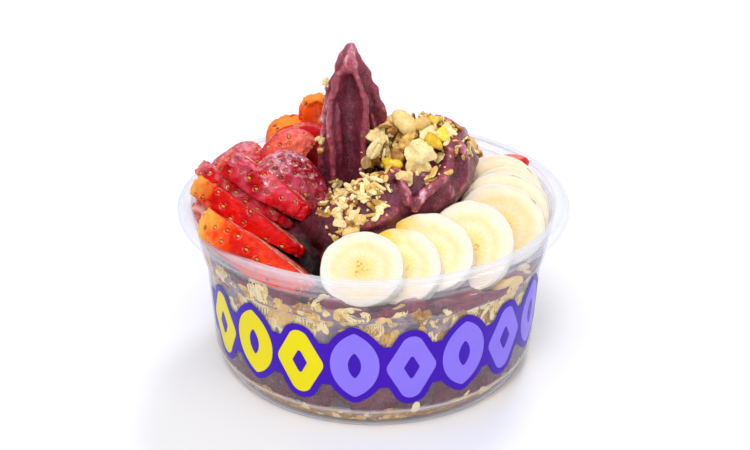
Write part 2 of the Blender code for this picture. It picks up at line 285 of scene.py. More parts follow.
class Look:
    """A material with one Principled shader and short ways to add nodes before it."""

    def __init__(self, name, **sockets):
        self.mat = bpy.data.materials.new(name)
        self.mat.use_nodes = True
        self.tree = self.mat.node_tree
        self.shader = self.tree.nodes["Principled BSDF"]
        self.place = Term(self, self.node("TexCoord").outputs["Object"])
        for key, value in sockets.items():
            self.shader.inputs[key.replace("_", " ")].default_value = value

    def node(self, kind, **settings):
        made = self.tree.nodes.new("ShaderNode" + kind)
        for key, value in settings.items():
            setattr(made, key, value)
        return made

    def link(self, value, socket):
        """A link from a term or a socket, or a plain value or colour."""
        value = value.socket if isinstance(value, Term) else value
        if isinstance(value, bpy.types.NodeSocket):
            self.tree.links.new(value, socket)
        else:
            socket.default_value = srgb(*value) if isinstance(value, tuple) else value

    def share(self, name):
        return Term(self, self.node("Attribute", attribute_name=name).outputs["Fac"])

    def split(self, vector):
        """The three parts of a vector."""
        made = self.node("SeparateXYZ")
        self.link(vector, made.inputs[0])
        return [Term(self, socket) for socket in made.outputs]

    def noise(self, size, detail=2.0, rough=0.5, warp=0.0, stretch=None):
        """Noise from 0 to 1 with features of the given size in mm."""
        made = self.node("TexNoise")
        where = self.place
        if stretch:
            scale = self.node("VectorMath", operation='MULTIPLY')
            self.link(where, scale.inputs[0])
            scale.inputs[1].default_value = stretch
            where = scale.outputs[0]
        self.link(where, made.inputs["Vector"])
        for key, value in (("Scale", 1 / (size * MM)), ("Detail", detail), ("Roughness", rough),
                           ("Distortion", warp)):
            made.inputs[key].default_value = value
        return Term(self, made.outputs["Fac"])

    def ramp(self, value, *stops):
        """A ramp of (place, colour or grey) stops."""
        made = self.node("ValToRGB")
        bar = made.color_ramp.elements
        while len(bar) < len(stops):
            bar.new(0.5)
        for element, (at, colour) in zip(bar, stops):
            element.position = at
            element.color = srgb(*colour) if isinstance(colour, tuple) else (colour, colour, colour, 1)
        self.link(value, made.inputs[0])
        return Term(self, made.outputs[0])

    def mix(self, share, a, b):
        made = self.node("Mix", data_type='RGBA')
        for value, socket in ((share, 0), (a, 6), (b, 7)):
            self.link(value, made.inputs[socket])
        return Term(self, made.outputs[2])

    def math(self, operation, *values):
        made = self.node("Math", operation=operation)
        for value, socket in zip(values, made.inputs):
            self.link(value, socket)
        return Term(self, made.outputs[0])

    def bump(self, height, depth):
        """Relief of the given depth in mm."""
        made = self.node("Bump")
        made.inputs["Distance"].default_value = depth * MM
        self.link(height, made.inputs["Height"])
        self.link(made.outputs[0], self.shader.inputs["Normal"])

    def colour(self, value):
        self.link(value, self.shader.inputs["Base Color"])

    def rough(self, value):
        self.link(value, self.shader.inputs["Roughness"])


def clear_plastic():
    """Thin clear plastic: it lets light straight through, with a mirror that grows at a glance, whitish
    bands painted at set heights for the reflections on its edges and a grey tint painted at a glance.
    """
    look = Look("clear_plastic", Base_Color=srgb(238, 240, 248), Roughness=0.06, IOR=1.46)
    weight = look.node("LayerWeight")
    weight.inputs["Blend"].default_value = 0.5
    facing = Term(look, weight.outputs["Facing"])
    glance = look.math('POWER', facing, 4.0) * 0.55
    haze = look.ramp(look.noise(9, 3), (0.3, 0.045), (0.75, 0.075))
    # painted reflection: whitish bands at set heights, along the foot's chamfer, among the fine rings under
    # the rim and on the rim's top, stand for the bright reflections along those edges
    rim_glare = look.ramp(look.split(look.place)[2] / (RIM_Z * MM), (0.10, 0.0), (0.122, 0.34), (0.142, 0.0),
                        (0.84, 0.0), (0.86, 0.16), (0.875, 0.04), (0.93, 0.04), (0.94, 0.26), (0.95, 0.04),
                        (0.975, 0.05), (1.0, 0.36))
    through = look.node("BsdfTransparent")
    # painted shade: the light let through turns grey-lilac at a glance, standing for the dark edge lines
    # that refraction gives
    look.link(look.ramp(facing, (0.35, (253, 253, 254)), (0.80, (243, 243, 248)),
                        (1.0, (222, 222, 234))), through.inputs[0])
    mixed = look.node("MixShader")
    look.link(glance + haze + rim_glare, mixed.inputs[0])
    look.link(through.outputs[0], mixed.inputs[1])
    look.link(look.shader.outputs[0], mixed.inputs[2])
    look.link(mixed.outputs[0], look.tree.nodes["Material Output"].inputs["Surface"])
    look.bump(look.noise(14, 2), 0.08)
    return look.mat


def ink(name, colour, deep):
    look = Look(name, Specular_IOR_Level=0.18)
    look.colour(look.mix(look.noise(14, 2), deep, colour))
    look.rough(look.ramp(look.noise(12, 2), (0.3, 0.30), (0.8, 0.40)))
    return look.mat


HOLLOW_SHADE = (20, 1, 4)                         # painted shade: the near-black at the bottom of the deepest hollows


def acai_look(name, deep, body, edge, light, frost_and_sheen, gloss=0.34):
    """Frozen acai: painted shade in the grooves, near-black in the deepest hollows, and a painted highlight
    in paler, pinker tones along the ridges, whitish on the sharpest crests, with fine frosty flecks.
    """
    look = Look(name, Specular_IOR_Level=0.36, Coat_Roughness=0.05)
    ridge_shading = look.share("ridge_shading")
    patch = (look.noise(5.0, 4, 0.6) - 0.5) * 0.4
    streak = (look.noise(0.9, 3, 0.6, stretch=(1.0, 1.0, 0.45)) - 0.5) * 0.45
    # painted shade and highlight: the ramp runs from near-black in the hollows through the body colour to
    # pale pink and whitish on the crests
    tinted = look.ramp(ridge_shading + patch + streak, (0.0, HOLLOW_SHADE), (0.13, deep), (0.36, body), (0.62, edge),
                       (0.82, light), (1.0, frost_and_sheen))
    wet = (look.ramp(ridge_shading, (0.26, 0.0), (0.55, 1.0))
           * look.ramp(look.noise(4.0, 3), (0.42, 0.05), (0.56, 1.0)))
    look.link(wet, look.shader.inputs["Coat Weight"])
    grain = look.noise(0.55, 3, 0.65)
    # frosty flecks, kept off the painted shade of the hollows
    flecks = look.ramp(grain, (0.60, 0.0), (0.74, 0.55)) * look.ramp(ridge_shading, (0.05, 0.0), (0.3, 1.0))
    look.colour(look.mix(flecks, tinted, frost_and_sheen))
    look.rough(look.ramp(look.noise(2.2, 3), (0.3, gloss - 0.08), (0.75, gloss + 0.2)))
    look.bump(grain + look.noise(1.6, 3) * 1.2, 0.22)
    return look.mat


def granola_look(name, dark, body, pale, rough=0.55, gloss=0.5):
    """Toasted oats: each piece has its own tone, with darker and paler patches on it."""
    look = Look(name, Specular_IOR_Level=gloss)
    value = look.share("tone") * 0.62 + look.noise(2.2, 4, 0.6) * 0.6
    bran = look.ramp(look.noise(0.8, 3, 0.6), (0.30, 0.55), (0.42, 0.0))
    look.colour(look.mix(bran, look.ramp(value, (0.28, dark), (0.50, body), (0.80, pale)), dark))
    look.rough(look.ramp(look.noise(1.0, 2), (0.3, rough - 0.12), (0.8, rough + 0.15)))
    look.bump(look.noise(0.7, 3, 0.65), 0.28)
    return look.mat


def berry_look(name, skin_deep, skin_light, stem, flesh=((214, 60, 48), (246, 196, 176)),
               film_and_sheen=0.0, gloss=0.24, pit_shade=(110, 4, 8), stem_from=0.84):
    """Strawberry: wet red skin, paler at the stem, with painted shade in the pits round the seeds, small
    glints painted round them, and pale cut flesh.
    The last share sets a wet coat and pinkish patches that are partly a thin coat of melted acai and partly
    painted sheen, with a painted highlight along the top."""
    look = Look(name, Specular_IOR_Level=0.05, Coat_Roughness=0.09,
                Subsurface_Weight=0.06, Subsurface_Scale=0.003)
    look.shader.inputs["Subsurface Radius"].default_value = (1.0, 0.25, 0.12)
    patch = look.noise(11.0, 2) * 0.6 + look.noise(2.4, 4, 0.65) * 0.4
    red = look.mix(look.ramp(patch, (0.41, 0.0), (0.57, 1.0)), skin_deep, skin_light)
    end = look.share("stem") + (look.noise(4.0, 4, 0.65) - 0.5) * 0.35
    red = look.mix(look.ramp(end, (stem_from - 0.06, 0.0), (1.0, 0.95)), red, stem)
    dimple = look.share("dimple")
    glint = (look.ramp(dimple, (0.10, 0.0), (0.22, 0.9), (0.36, 0.0))
             * look.ramp(look.noise(1.6, 3, 0.6), (0.50, 0.0), (0.60, 0.75)))
    red = look.mix(glint, red, (252, 150, 140))
    # painted shade in the seed pits
    red = look.mix(look.ramp(dimple, (0.34, 0.0), (0.66, 0.9)), red, pit_shade)
    look.link(look.ramp(look.noise(7.0, 3, 0.55, 0.6), (0.47, 0.0), (0.56, 0.05 + 1.3 * film_and_sheen)),
              look.shader.inputs["Coat Weight"])
    if film_and_sheen:
        # pinkish patches: partly a thin coat of melted acai, partly painted sheen
        melt_and_sheen = look.ramp(look.noise(9.0, 4, 0.62, 0.8), (0.46, 0.0), (0.58, 0.75 * film_and_sheen))
        red = look.mix(melt_and_sheen, red, (212, 92, 120))
        # painted highlight on the faces that look up
        top = (look.ramp(look.share("up"), (0.72, 0.0), (0.92, film_and_sheen))
               * look.ramp(look.noise(2.6, 4, 0.65), (0.40, 0.1), (0.56, 1.0)))
        red = look.mix(top, red, (240, 176, 196))
    core, pale = flesh
    depth = look.share("share") + (look.noise(3.0, 3, 0.6) - 0.5) * 0.3
    meat = look.ramp(depth, (0.10, pale), (0.34, core), (0.46, pale), (0.62, core), (0.92, skin_light))
    look.colour(look.mix(look.share("skin"), meat, red))
    look.rough(look.ramp(look.noise(2.0, 3), (0.3, gloss - 0.06), (0.8, gloss + 0.16)))
    look.bump(look.noise(1.3, 4, 0.65), 0.35)
    return look.mat


def seed_look():
    look = Look("strawberry_seed", Specular_IOR_Level=0.5)
    look.colour(look.ramp(look.share("tone"), (0.0, (112, 44, 22)), (0.45, (196, 128, 36)),
                          (1.0, (230, 184, 78))))
    look.rough(look.ramp(look.noise(0.5, 2), (0.3, 0.3), (0.8, 0.5)))
    look.bump(look.noise(0.3, 2), 0.04)
    return look.mat


def banana_look():
    """Cut banana: cream flesh, a yellower middle with three seed lines, fine rays and pale sides."""
    look = Look("banana", Specular_IOR_Level=0.3, Subsurface_Weight=0.15, Subsurface_Scale=0.003)
    look.shader.inputs["Subsurface Radius"].default_value = (1.0, 0.8, 0.45)
    x, y, side = look.split(look.node("Attribute", attribute_name="disc").outputs["Vector"])
    radius = look.math('SQRT', x * x + y * y)
    wobble = (look.noise(4.0, 3) - 0.5) * 0.22
    flesh = look.ramp(radius + wobble, (0.0, (248, 214, 116)), (0.26, (250, 222, 150)),
                      (0.46, (253, 231, 192)), (0.62, (251, 226, 170)),
                      (0.80, (254, 236, 208)), (0.97, (254, 244, 224)))
    angle = look.math('ARCTAN2', y, x)
    rays = look.math('COSINE', angle * 21.0)
    ring = look.ramp(radius, (0.18, 0.0), (0.34, 0.4), (0.60, 0.0))
    flesh = look.mix(ring * ((rays + 1.0) * 0.35), flesh, (232, 205, 120))
    lobe = (look.math('COSINE', angle * 3.0) + 1.0) * 0.085 + 0.05
    mark = look.ramp(radius - lobe, (0.0, 0.75), (0.05, 0.0))
    dots = look.ramp(look.noise(1.1, 2), (0.48, 0.0), (0.62, 1.0))
    flesh = look.mix(mark * dots, flesh, (186, 140, 40))
    edge = look.mix(look.noise(2.0, 3), (251, 233, 188), (254, 242, 216))
    honey = look.share("honey")
    look.colour(look.mix(honey, look.mix(side, flesh, edge), (244, 204, 60)))
    look.rough(look.ramp(look.noise(1.8, 3), (0.3, 0.34), (0.8, 0.55)) - honey * 0.2)
    look.bump(look.noise(0.8, 3, 0.6), 0.10)
    return look.mat


# ramp colours of the acai, from painted shade in the grooves to painted highlight on the ridges; the last
# is both the colour of the frosty flecks and the painted highlight on the sharpest crests
DEEP_ACAI, BODY_ACAI = (74, 16, 32), (122, 46, 66)
PINK_ACAI, LIGHT_ACAI, FROST_AND_SHEEN = (162, 62, 76), (208, 122, 142), (236, 194, 212)

LOOKS = {
    "bowl": clear_plastic(),
    "violet": ink("violet_ink", (66, 0, 186), (56, 0, 170)),
    "yellow": ink("yellow_ink", (240, 226, 8), (232, 214, 0)),
    "lilac": ink("lilac_ink", (146, 124, 244), (136, 112, 236)),
    "swirl": acai_look("acai_frozen", DEEP_ACAI, BODY_ACAI, PINK_ACAI, LIGHT_ACAI, FROST_AND_SHEEN),
    "lower": acai_look("acai_pressed", (56, 12, 24), (92, 28, 38), (112, 44, 54),
                       (160, 90, 100), (188, 140, 146), 0.28),
    "oat": granola_look("granola_oat", (150, 92, 30), (234, 188, 92), (253, 234, 174)),
    "nut": granola_look("granola_nut", (226, 178, 98), (246, 216, 142), (253, 236, 184), 0.4),
    "honey": granola_look("granola_honey", (214, 156, 0), (244, 204, 12), (254, 226, 64),
                          0.24, 0.7),
    "crumb": granola_look("granola_crumb", (184, 128, 60), (238, 200, 118), (252, 234, 184)),
    "stained": granola_look("granola_stained", (98, 74, 96), (150, 128, 138), (206, 180, 150), 0.6),
    "crushed": granola_look("granola_crushed", (110, 68, 34), (176, 126, 66), (222, 182, 112), 0.7),
    "orange_berry": berry_look("strawberry_bright", (214, 22, 0), (250, 70, 2), (255, 204, 70),
                               film_and_sheen=0.1, stem_from=0.70),
    "scarlet_berry": berry_look("strawberry_vivid", (176, 0, 0), (224, 16, 2), (255, 184, 60),
                                film_and_sheen=0.06, stem_from=0.72),
    # painted light: the berries at the back are orange-red, and their colours are made brighter for the
    # light shining through the thin pieces
    "back_berry": berry_look("strawberry_scarlet", (246, 46, 10), (255, 104, 20), (255, 150, 60),
                             ((252, 92, 34), (255, 176, 120))),
    "red_berry": berry_look("strawberry_red", (150, 2, 12), (214, 20, 30), (246, 110, 60), film_and_sheen=0.55),
    "wine_berry": berry_look("strawberry_dark", (104, 2, 16), (176, 22, 38), (212, 74, 62), film_and_sheen=0.75),
    "pink_berry": berry_look("strawberry_pink", (206, 16, 26), (240, 48, 52), (248, 120, 84),
                             ((212, 24, 34), (236, 84, 84)), film_and_sheen=0.3),
    "seed": seed_look(),
    "banana": banana_look(),
}


# ======== bowl
def soften(profile, reach=0.5, steps=4):
    """The profile with each corner rounded over a short reach."""
    made = [np.array(profile[0], float)]
    for a, b, c in zip(profile, profile[1:], profile[2:]):
        a, b, c = (np.array(p, float) for p in (a, b, c))
        near = b + (a - b) * min(0.45, reach / np.linalg.norm(a - b))
        far = b + (c - b) * min(0.45, reach / np.linalg.norm(c - b))
        for t in np.linspace(0, 1, steps):
            made.append((1 - t) ** 2 * near + 2 * t * (1 - t) * b + t * t * far)
    made.append(np.array(profile[-1], float))
    return np.array(made)


def make_bowl(steps=288):
    lip = ((NECK_R + 0.7, RIM_Z), (RIM_R - 2.7, RIM_Z - 0.1), (RIM_R - 2.1, RIM_Z - 1.2),
           (RIM_R - 0.6, RIM_Z - 1.5), (RIM_R, RIM_Z - 2.3), (RIM_R - 0.2, RIM_Z - 3.7),
           (RIM_R - 0.9, RIM_Z - 3.7), (RIM_R - 1.2, RIM_Z - 2.4), (RIM_R - 2.7, RIM_Z - 2.1),
           (RIM_R - 3.3, RIM_Z - 0.95), (NECK_R + 1.0, RIM_Z - 0.9))
    foot = ((FOOT_R - 2, 0), (FOOT_R - 3, 0.9), (0.5, 0.9))
    rings = []
    for depth in BEADS:
        z, r = RIM_Z - depth, radius_at(OUTSIDE, RIM_Z - depth)
        rings += [(r, z - 0.6), (r + BEAD, z - 0.15), (r + BEAD, z + 0.15), (r, z + 0.6)]
    outside = OUTSIDE[:4] + tuple(rings) + OUTSIDE[4:]
    profile = soften(((0.5, FLOOR_Z),) + INSIDE + lip + outside[::-1] + foot)
    angles = np.linspace(0, 2 * pi, steps, endpoint=False)
    rings = np.stack([profile[:, :1] * np.cos(angles), profile[:, :1] * np.sin(angles),
                      np.repeat(profile[:, 1:], steps, 1)], -1)
    points, faces = skin(rings)
    return place(piece("clear_bowl", points, faces, LOOKS["bowl"]), "clear_plastic", "bowl")


# -------- printed band
CELLS = 20                                  # motifs and gaps round the bowl
FIRST_CELL = radians(-90 - 69)              # where the first yellow motif's cell starts
BAND_MID, OUTLINE = (13.0 + 44.5) / 2, 2.7  # height of the band's middle, width of its border
MOTIF_W, MOTIF_H = 7.9, 12.8                # half width and half height of a motif
PATTERN = "yyylllll  "                      # yellow, lilac and bare cells


def rhombus(x, y, w, h, soft):
    """Signed distance to a diamond with soft corners."""
    w, h = w - soft, h - soft
    x, y = np.abs(x), np.abs(y)
    t = np.clip(((w - 2 * x) * w - (h - 2 * y) * h) / (w * w + h * h), -1, 1)
    d = np.hypot(x - 0.5 * w * (1 - t), y - 0.5 * h * (1 + t))
    return d * np.sign(x * h + y * w - w * h) - soft


def leaf(x, y, w, h):
    """Signed distance to an upright leaf with two pointed ends."""
    x, y = np.abs(x), np.abs(y)
    d = (h * h - w * w) / (2 * w)
    r = d + w
    tip = np.hypot(x, y - h)
    side = np.hypot(x + d, y) - r
    return np.where((y - h) * d > x * h, tip, side)


def motif(cell, x, y, part):
    """Signed distance to one cell's motif or to the small shapes in its middle."""
    lift = 0.7 if cell % 2 else -0.7
    y = y - lift
    if cell % 2:
        if part == "body":
            return leaf(x, y, MOTIF_W + 0.2, MOTIF_H + 0.2) - 1.0
        return leaf(x, y, 2.4, 5.6)
    if part == "body":
        return rhombus(x, y, MOTIF_W + 1.4, MOTIF_H + 0.8, 4.2)
    return rhombus(x, y, 2.9, 4.8, 0.8)


def band_field(angle, z, wanted, part, grow=0.0):
    """Signed distance, at points of the wall, to the wanted motifs."""
    width = 2 * pi / CELLS
    nearest = np.full(angle.shape, 1e3)
    turn = (angle - FIRST_CELL) % (2 * pi)
    for k in range(CELLS):
        if PATTERN[k % len(PATTERN)] not in wanted:
            continue
        off = (turn - (k + 0.5) * width + pi) % (2 * pi) - pi
        x = off * radius_at(OUTSIDE, z)
        near = np.abs(x) < 20
        x, y = x[near], z[near] - BAND_MID
        d = motif(k, x, y, part)
        if grow:
            d = np.minimum(d, np.maximum(np.abs(x) - 11, np.abs(y) - 9.0 + grow))
        nearest[near] = np.minimum(nearest[near], d)
    return nearest - grow


def clipped(corners, values):
    """The part of one cell where the field is below zero."""
    made = []
    for i in range(len(corners)):
        a, b, u, v = corners[i], corners[(i + 1) % 4], values[i], values[(i + 1) % 4]
        if u < 0:
            made.append(a)
        if (u < 0) != (v < 0):
            t = u / (u - v)
            made.append((a[0] + (b[0] - a[0]) * t, a[1] + (b[1] - a[1]) * t))
    return made


def printed(name, mat, lift, thick, *field, columns=800, rows=80):
    """A thin closed layer of ink on the outside of the wall, wherever the field is below zero."""
    angles = np.linspace(0, 2 * pi, columns + 1)
    heights = np.linspace(BAND_MID - 17.5, BAND_MID + 17.5, rows + 1)
    a, z = np.meshgrid(angles, heights)
    d = band_field(a, z, *field)
    known, points, faces = {}, [], []

    def index(angle, height):
        key = (round((angle % (2 * pi)) * 1e5), round(height * 1e4))
        if key not in known:
            known[key] = len(points)
            r = radius_at(OUTSIDE, height) + lift
            points.append((r * cos(angle), r * sin(angle), height))
        return known[key]

    for row in range(rows):
        low = np.minimum(d[row, :-1], np.minimum(d[row, 1:], np.minimum(d[row + 1, :-1], d[row + 1, 1:])))
        for col in np.nonzero(low < 0)[0]:
            where = ((row, col), (row, col + 1), (row + 1, col + 1), (row + 1, col))
            shape = clipped([(angles[j], heights[i]) for i, j in where], [d[i, j] for i, j in where])
            face = []
            for corner in shape:
                k = index(*corner)
                if k not in face:
                    face.append(k)
            if len(face) > 2:
                faces.append(face)
    obj = mesh_object(name, points, faces)
    obj.data.materials.append(mat)
    obj.data.polygons.foreach_set("use_smooth", [True] * len(faces))
    ink_depth = obj.modifiers.new("ink", 'SOLIDIFY')
    ink_depth.thickness = thick * MM
    ink_depth.offset = 0
    return place(obj, "clear_plastic")


def make_print():
    printed("print_border", LOOKS["violet"], 0.05, 0.05, "yl", "body", OUTLINE)
    printed("print_yellow", LOOKS["yellow"], 0.12, 0.05, "y", "body")
    printed("print_lilac", LOOKS["lilac"], 0.12, 0.05, "l", "body")
    printed("print_centres", LOOKS["violet"], 0.19, 0.05, "yl", "middle")


# ======== layers
def make_layer(name, node, bottom, top, mat, relief, seed, radii=70, turns=300, rows=26):
    """A closed disc between two height functions that reaches just into the wall."""
    a = np.linspace(0, 2 * pi, turns, endpoint=False)
    share = np.linspace(0.01, 1, radii) ** 0.7
    rings = []
    wide = radius_at(INSIDE, 60)
    edge = np.stack([wide * np.cos(a), wide * np.sin(a)], -1)
    for s in share:
        xy = edge * s * 0.93
        rings.append(np.column_stack([xy, bottom(xy[:, 0], xy[:, 1])]))
    low, high = bottom(*(edge * 0.97).T), top(*(edge * 0.97).T)
    for t in np.linspace(0, 1, rows):
        z = low + (high - low) * t
        r = radius_at(INSIDE, z) + PRESS
        rings.append(np.column_stack([r * np.cos(a), r * np.sin(a), z]))
    for s in share[::-1]:
        xy = edge * s * 0.93
        rings.append(np.column_stack([xy, top(xy[:, 0], xy[:, 1])]))
    rings = np.array(rings)
    normals = ring_normals(rings)
    rise = relief * fractal(rings, 5.0, 3, seed)
    rings = rings + normals * rise[..., None]
    # painted shade and light: the colour share is darker where the relief sinks and paler where it rises
    points, faces, ridge_shading = skin(rings, 0.34 + rise / (5 * relief + 1e-6))
    points = inside_bowl(points)
    if name == "acai_mound":
        # painted shade in the mound's hollow
        ridge_shading = ridge_shading - 0.9 * dip(points[:, 0], points[:, 1])
    shares = {"ridge_shading": ridge_shading, "tone": ridge_shading}
    return place(piece(name, points, faces, mat, shares), "acai" if "acai" in name else "granola", node)


def make_layers():
    make_layer("granola_base_bed", "granola_base", lambda x, y: x * 0 + FLOOR_Z - PRESS,
               base_top, LOOKS["crushed"], 0.5, 3)
    make_layer("acai_lower_layer", "acai_lower", lambda x, y: base_top(x, y) - 0.4, lower_top,
               LOOKS["lower"], 0.3, 5)
    make_layer("granola_middle_bed", "granola_middle", lambda x, y: lower_top(x, y) - 0.4,
               middle_top, LOOKS["stained"], 0.5, 7)
    make_layer("acai_mound", "acai_swirl", lambda x, y: middle_top(x, y) - 0.4, mound_top,
               LOOKS["swirl"], 0.8, 9, radii=150)


# ======== swirl
PEAK_TOP = node_box("acai_swirl")[1][2]
PEAK_AXIS = ((-8.6, -0.4, 130.2, 0.5), (-8.5, -0.2, 128.6, 1), (-8.4, 0.2, 123, 2.8), (-8.3, 0.5, 117, 4),
             (-8.3, 0.8, 110, 5), (-8.2, 1, 100, 5.8), (-8.2, 1.2, 88, 6.3), (-8.2, 1.4, 68, 6.8))
PEAK_RIBS = (      # the peak's edges from its tip down, with the radius of each
    ((-8.6, -0.6, 130.4, 0.5), (-8.8, -1.8, 129, 0.8), (-9.7, -5, 125.4, 1), (-10.8, -7, 122.2, 1.2),
     (-13.9, -7.8, 118.8, 1.3), (-14.3, -8.6, 114.6, 1.4), (-16, -9.2, 111, 1.5),
     (-16.7, -9.8, 104.6, 1.6), (-16.5, -10.2, 97.6, 1.6), (-15.9, -10.6, 90.6, 1.6),
     (-15.6, -10.8, 82.8, 1.6), (-15.4, -10.8, 68, 1.6)),
    ((-8.5, -0.8, 130.3, 0.5), (-8.1, -2.2, 128.8, 0.8), (-6.9, -6.4, 121.8, 1.1), (-5.4, -8, 117, 1.2),
     (-3.9, -8.8, 112.4, 1.3), (-3, -9.6, 106.8, 1.4), (-3.3, -10.4, 101.2, 1.4),
     (-3.8, -10.8, 95.6, 1.4), (-3.7, -11, 89.6, 1.4), (-4.1, -11.2, 84, 1.4), (-4.2, -11.2, 68, 1.4)),
    ((-8.3, -0.2, 130.3, 0.5), (-7.2, 0.4, 128.4, 0.8), (-4.9, 0.6, 122.8, 1.1), (-2.4, 0.4, 118.6, 1.2),
     (-0.3, 0.2, 113, 1.3), (1.4, 0, 107.4, 1.4), (3.4, 0, 103, 1.4), (4.3, 0.2, 98, 1.5),
     (4.6, 0.6, 92.4, 1.5), (4.8, 1, 80, 1.6), (4.8, 1, 68, 1.6)),
    ((-8.8, -0.2, 130.3, 0.5), (-10.2, 0.3, 128.6, 0.8), (-11.8, 0.6, 126.4, 1), (-13.6, 0.4, 121.6, 1.1),
     (-14.4, 0.2, 117.6, 1.2), (-17.4, 0.2, 111.8, 1.3), (-18, 0.2, 104.4, 1.4), (-19.3, 0.4, 95.4, 1.4),
     (-20.6, 0.4, 86.4, 1.5), (-20.8, 0.4, 68, 1.5)),
    ((-8.7, 0.2, 130.2, 0.5), (-9.4, 1.8, 128.2, 0.8), (-11.4, 4.2, 123.4, 1.1), (-12.8, 6.4, 118, 1.2),
     (-13.8, 8.4, 111, 1.4), (-14.2, 9.8, 103, 1.4), (-14.6, 10.6, 92, 1.5), (-15, 10.8, 68, 1.5)),
    ((-8.5, 0.2, 130.2, 0.5), (-7.8, 1.8, 128.2, 0.8), (-6.6, 5, 122, 1.1), (-5.4, 7.2, 117, 1.2),
     (-3.8, 9, 110, 1.4), (-2.6, 10.2, 102, 1.4), (-2.2, 10.6, 92, 1.5), (-2.2, 10.8, 68, 1.5)))
PEAK_WELTS = (      # smaller raised lines and the torn lip over the front channel
    ((-13.6, -8.2, 109.5, 0.6), (-13.2, -8.4, 104, 1), (-13.5, -8.6, 98, 1), (-12.9, -8.3, 91, 0.9),
     (-12.7, -8, 84, 0.7)),
    ((-10.9, -5.4, 122.4, 1.8), (-9.3, -6, 121.6, 1.9), (-7.6, -6.2, 121.2, 1.7)),
    ((-1.2, -5.6, 104.5, 0.6), (0.2, -5.4, 99, 0.9), (0.6, -5.6, 92, 0.9), (0.4, -5.8, 86, 0.7)))


def surface_noise(points, seed):
    return (0.5 * noise(points, 9, seed) + 0.22 * fractal(points, 3.0, 2, seed + 1)
            + 0.09 * noise(points, 0.9, seed + 2))


COIL = (      # thick runs of the rope: points on their middle line with the radius of each
    ((-25, -36, 65, 6.5), (-15, -34, 70, 9.6), (-4, -30.5, 73, 11.4), (6, -25, 76, 11.2), (9, -20, 78, 9)),
    ((6, -18, 74, 9), (16, -19, 77, 12.6), (24, -12, 80, 12.6), (28, -1, 81, 12.2), (25, 9, 80, 12),
     (16, 16, 78, 11.5), (5, 18, 76, 11), (-7, 16, 72, 10)),
    ((14, -4, 84, 7), (22, -9, 88, 8.5), (28, -4, 88, 8.5), (24, 6, 86, 8)),
    ((-14, -38, 56, 7), (-8, -39, 61, 8), (0, -38, 64, 8), (12, -34, 66, 9)))
RIDGES = (      # edges that the nozzle left along the rope
    ((-27, -34, 70, 1.8), (-20.5, -38, 74, 2.2), (-15.5, -38.5, 78.5, 2.3), (-10.4, -38.5, 81.5, 2.3),
     (-5, -36.5, 83.6, 2.3), (0.5, -31.5, 85.4, 2.2), (5, -29, 88, 2.1), (8.6, -26, 90.4, 1.5)),
    ((-19, -46.6, 61.5, 1.8), (-15.2, -42.8, 66, 2.2), (-10.8, -43.2, 72, 2.3), (-5, -42.6, 75, 2.3),
     (0, -41.8, 76.2, 2.2), (5.2, -39.2, 77, 2), (9.2, -37.4, 79, 1.5)),
    ((9.4, -27, 89.6, 1.4), (10.6, -31.2, 86.8, 1.7), (12, -34.2, 83.4, 1.8), (12.6, -36.4, 79.4, 1.7)),
    ((14.8, -35, 75.6, 1.6), (16.2, -35, 79.8, 1.9), (18.8, -33.4, 83, 2), (22.4, -31.2, 85.2, 2.1),
     (25.8, -28, 87.4, 2.1), (28, -23, 89.8, 2), (28.6, -19.2, 92.8, 1.9), (27.4, -17.4, 96, 1.8),
     (24.8, -16.4, 98.8, 1.5)),
    ((25.6, -27.8, 86, 1.9), (27.8, -27.2, 81.8, 1.8), (29.4, -26.8, 78, 1.4)),
    ((29, -13.6, 97.8, 1.8), (32.4, -15.8, 95, 1.9), (34.2, -15, 90.6, 1.9), (34.8, -14.6, 86, 1.9),
     (33.8, -17.8, 82, 1.8), (31.4, -22.2, 79, 1.5)),
    ((30, -14, 97, 1.9), (34, -4, 94.5, 2.1), (33, 8, 91.5, 2.1), (25, 17, 89.5, 2), (12, 23, 87.5, 1.9),
     (-4, 22, 82.5, 1.7)),
    ((35, -12, 84, 1.8), (39.4, -1, 82.4, 2), (36.4, 12, 80.4, 2.1), (25, 23.4, 78.4, 2.1),
     (10, 28.4, 76.4, 2), (-6, 25.4, 73, 1.7)))


def tube(row, around=28, step=0.8):
    """A closed tube through points given with their radii, with round ends."""
    row = np.array(row, float)
    count = max(8, int(np.sum(np.linalg.norm(np.diff(row[:, :3], axis=0), axis=1)) / step))
    line = spline(row, count)
    middle, radius = line[:, :3], line[:, 3:].copy()
    ahead = unit(np.gradient(middle, axis=0))
    across = np.eye(3)[np.argmin(np.abs(ahead.mean(0)))]
    u = unit(np.cross(ahead, across))
    v = np.cross(u, ahead)
    reach = np.arange(count) * step
    near = np.minimum(reach, reach[::-1])[:, None]
    radius *= np.sqrt(np.clip(1 - (1 - np.minimum(near / np.maximum(radius, 0.1), 1)) ** 2, 0.02, 1))
    a = np.linspace(0, 2 * pi, around, endpoint=False)[None, :, None]
    return skin(middle[:, None] + radius[:, None] * (u[:, None] * np.cos(a) + v[:, None] * np.sin(a)))


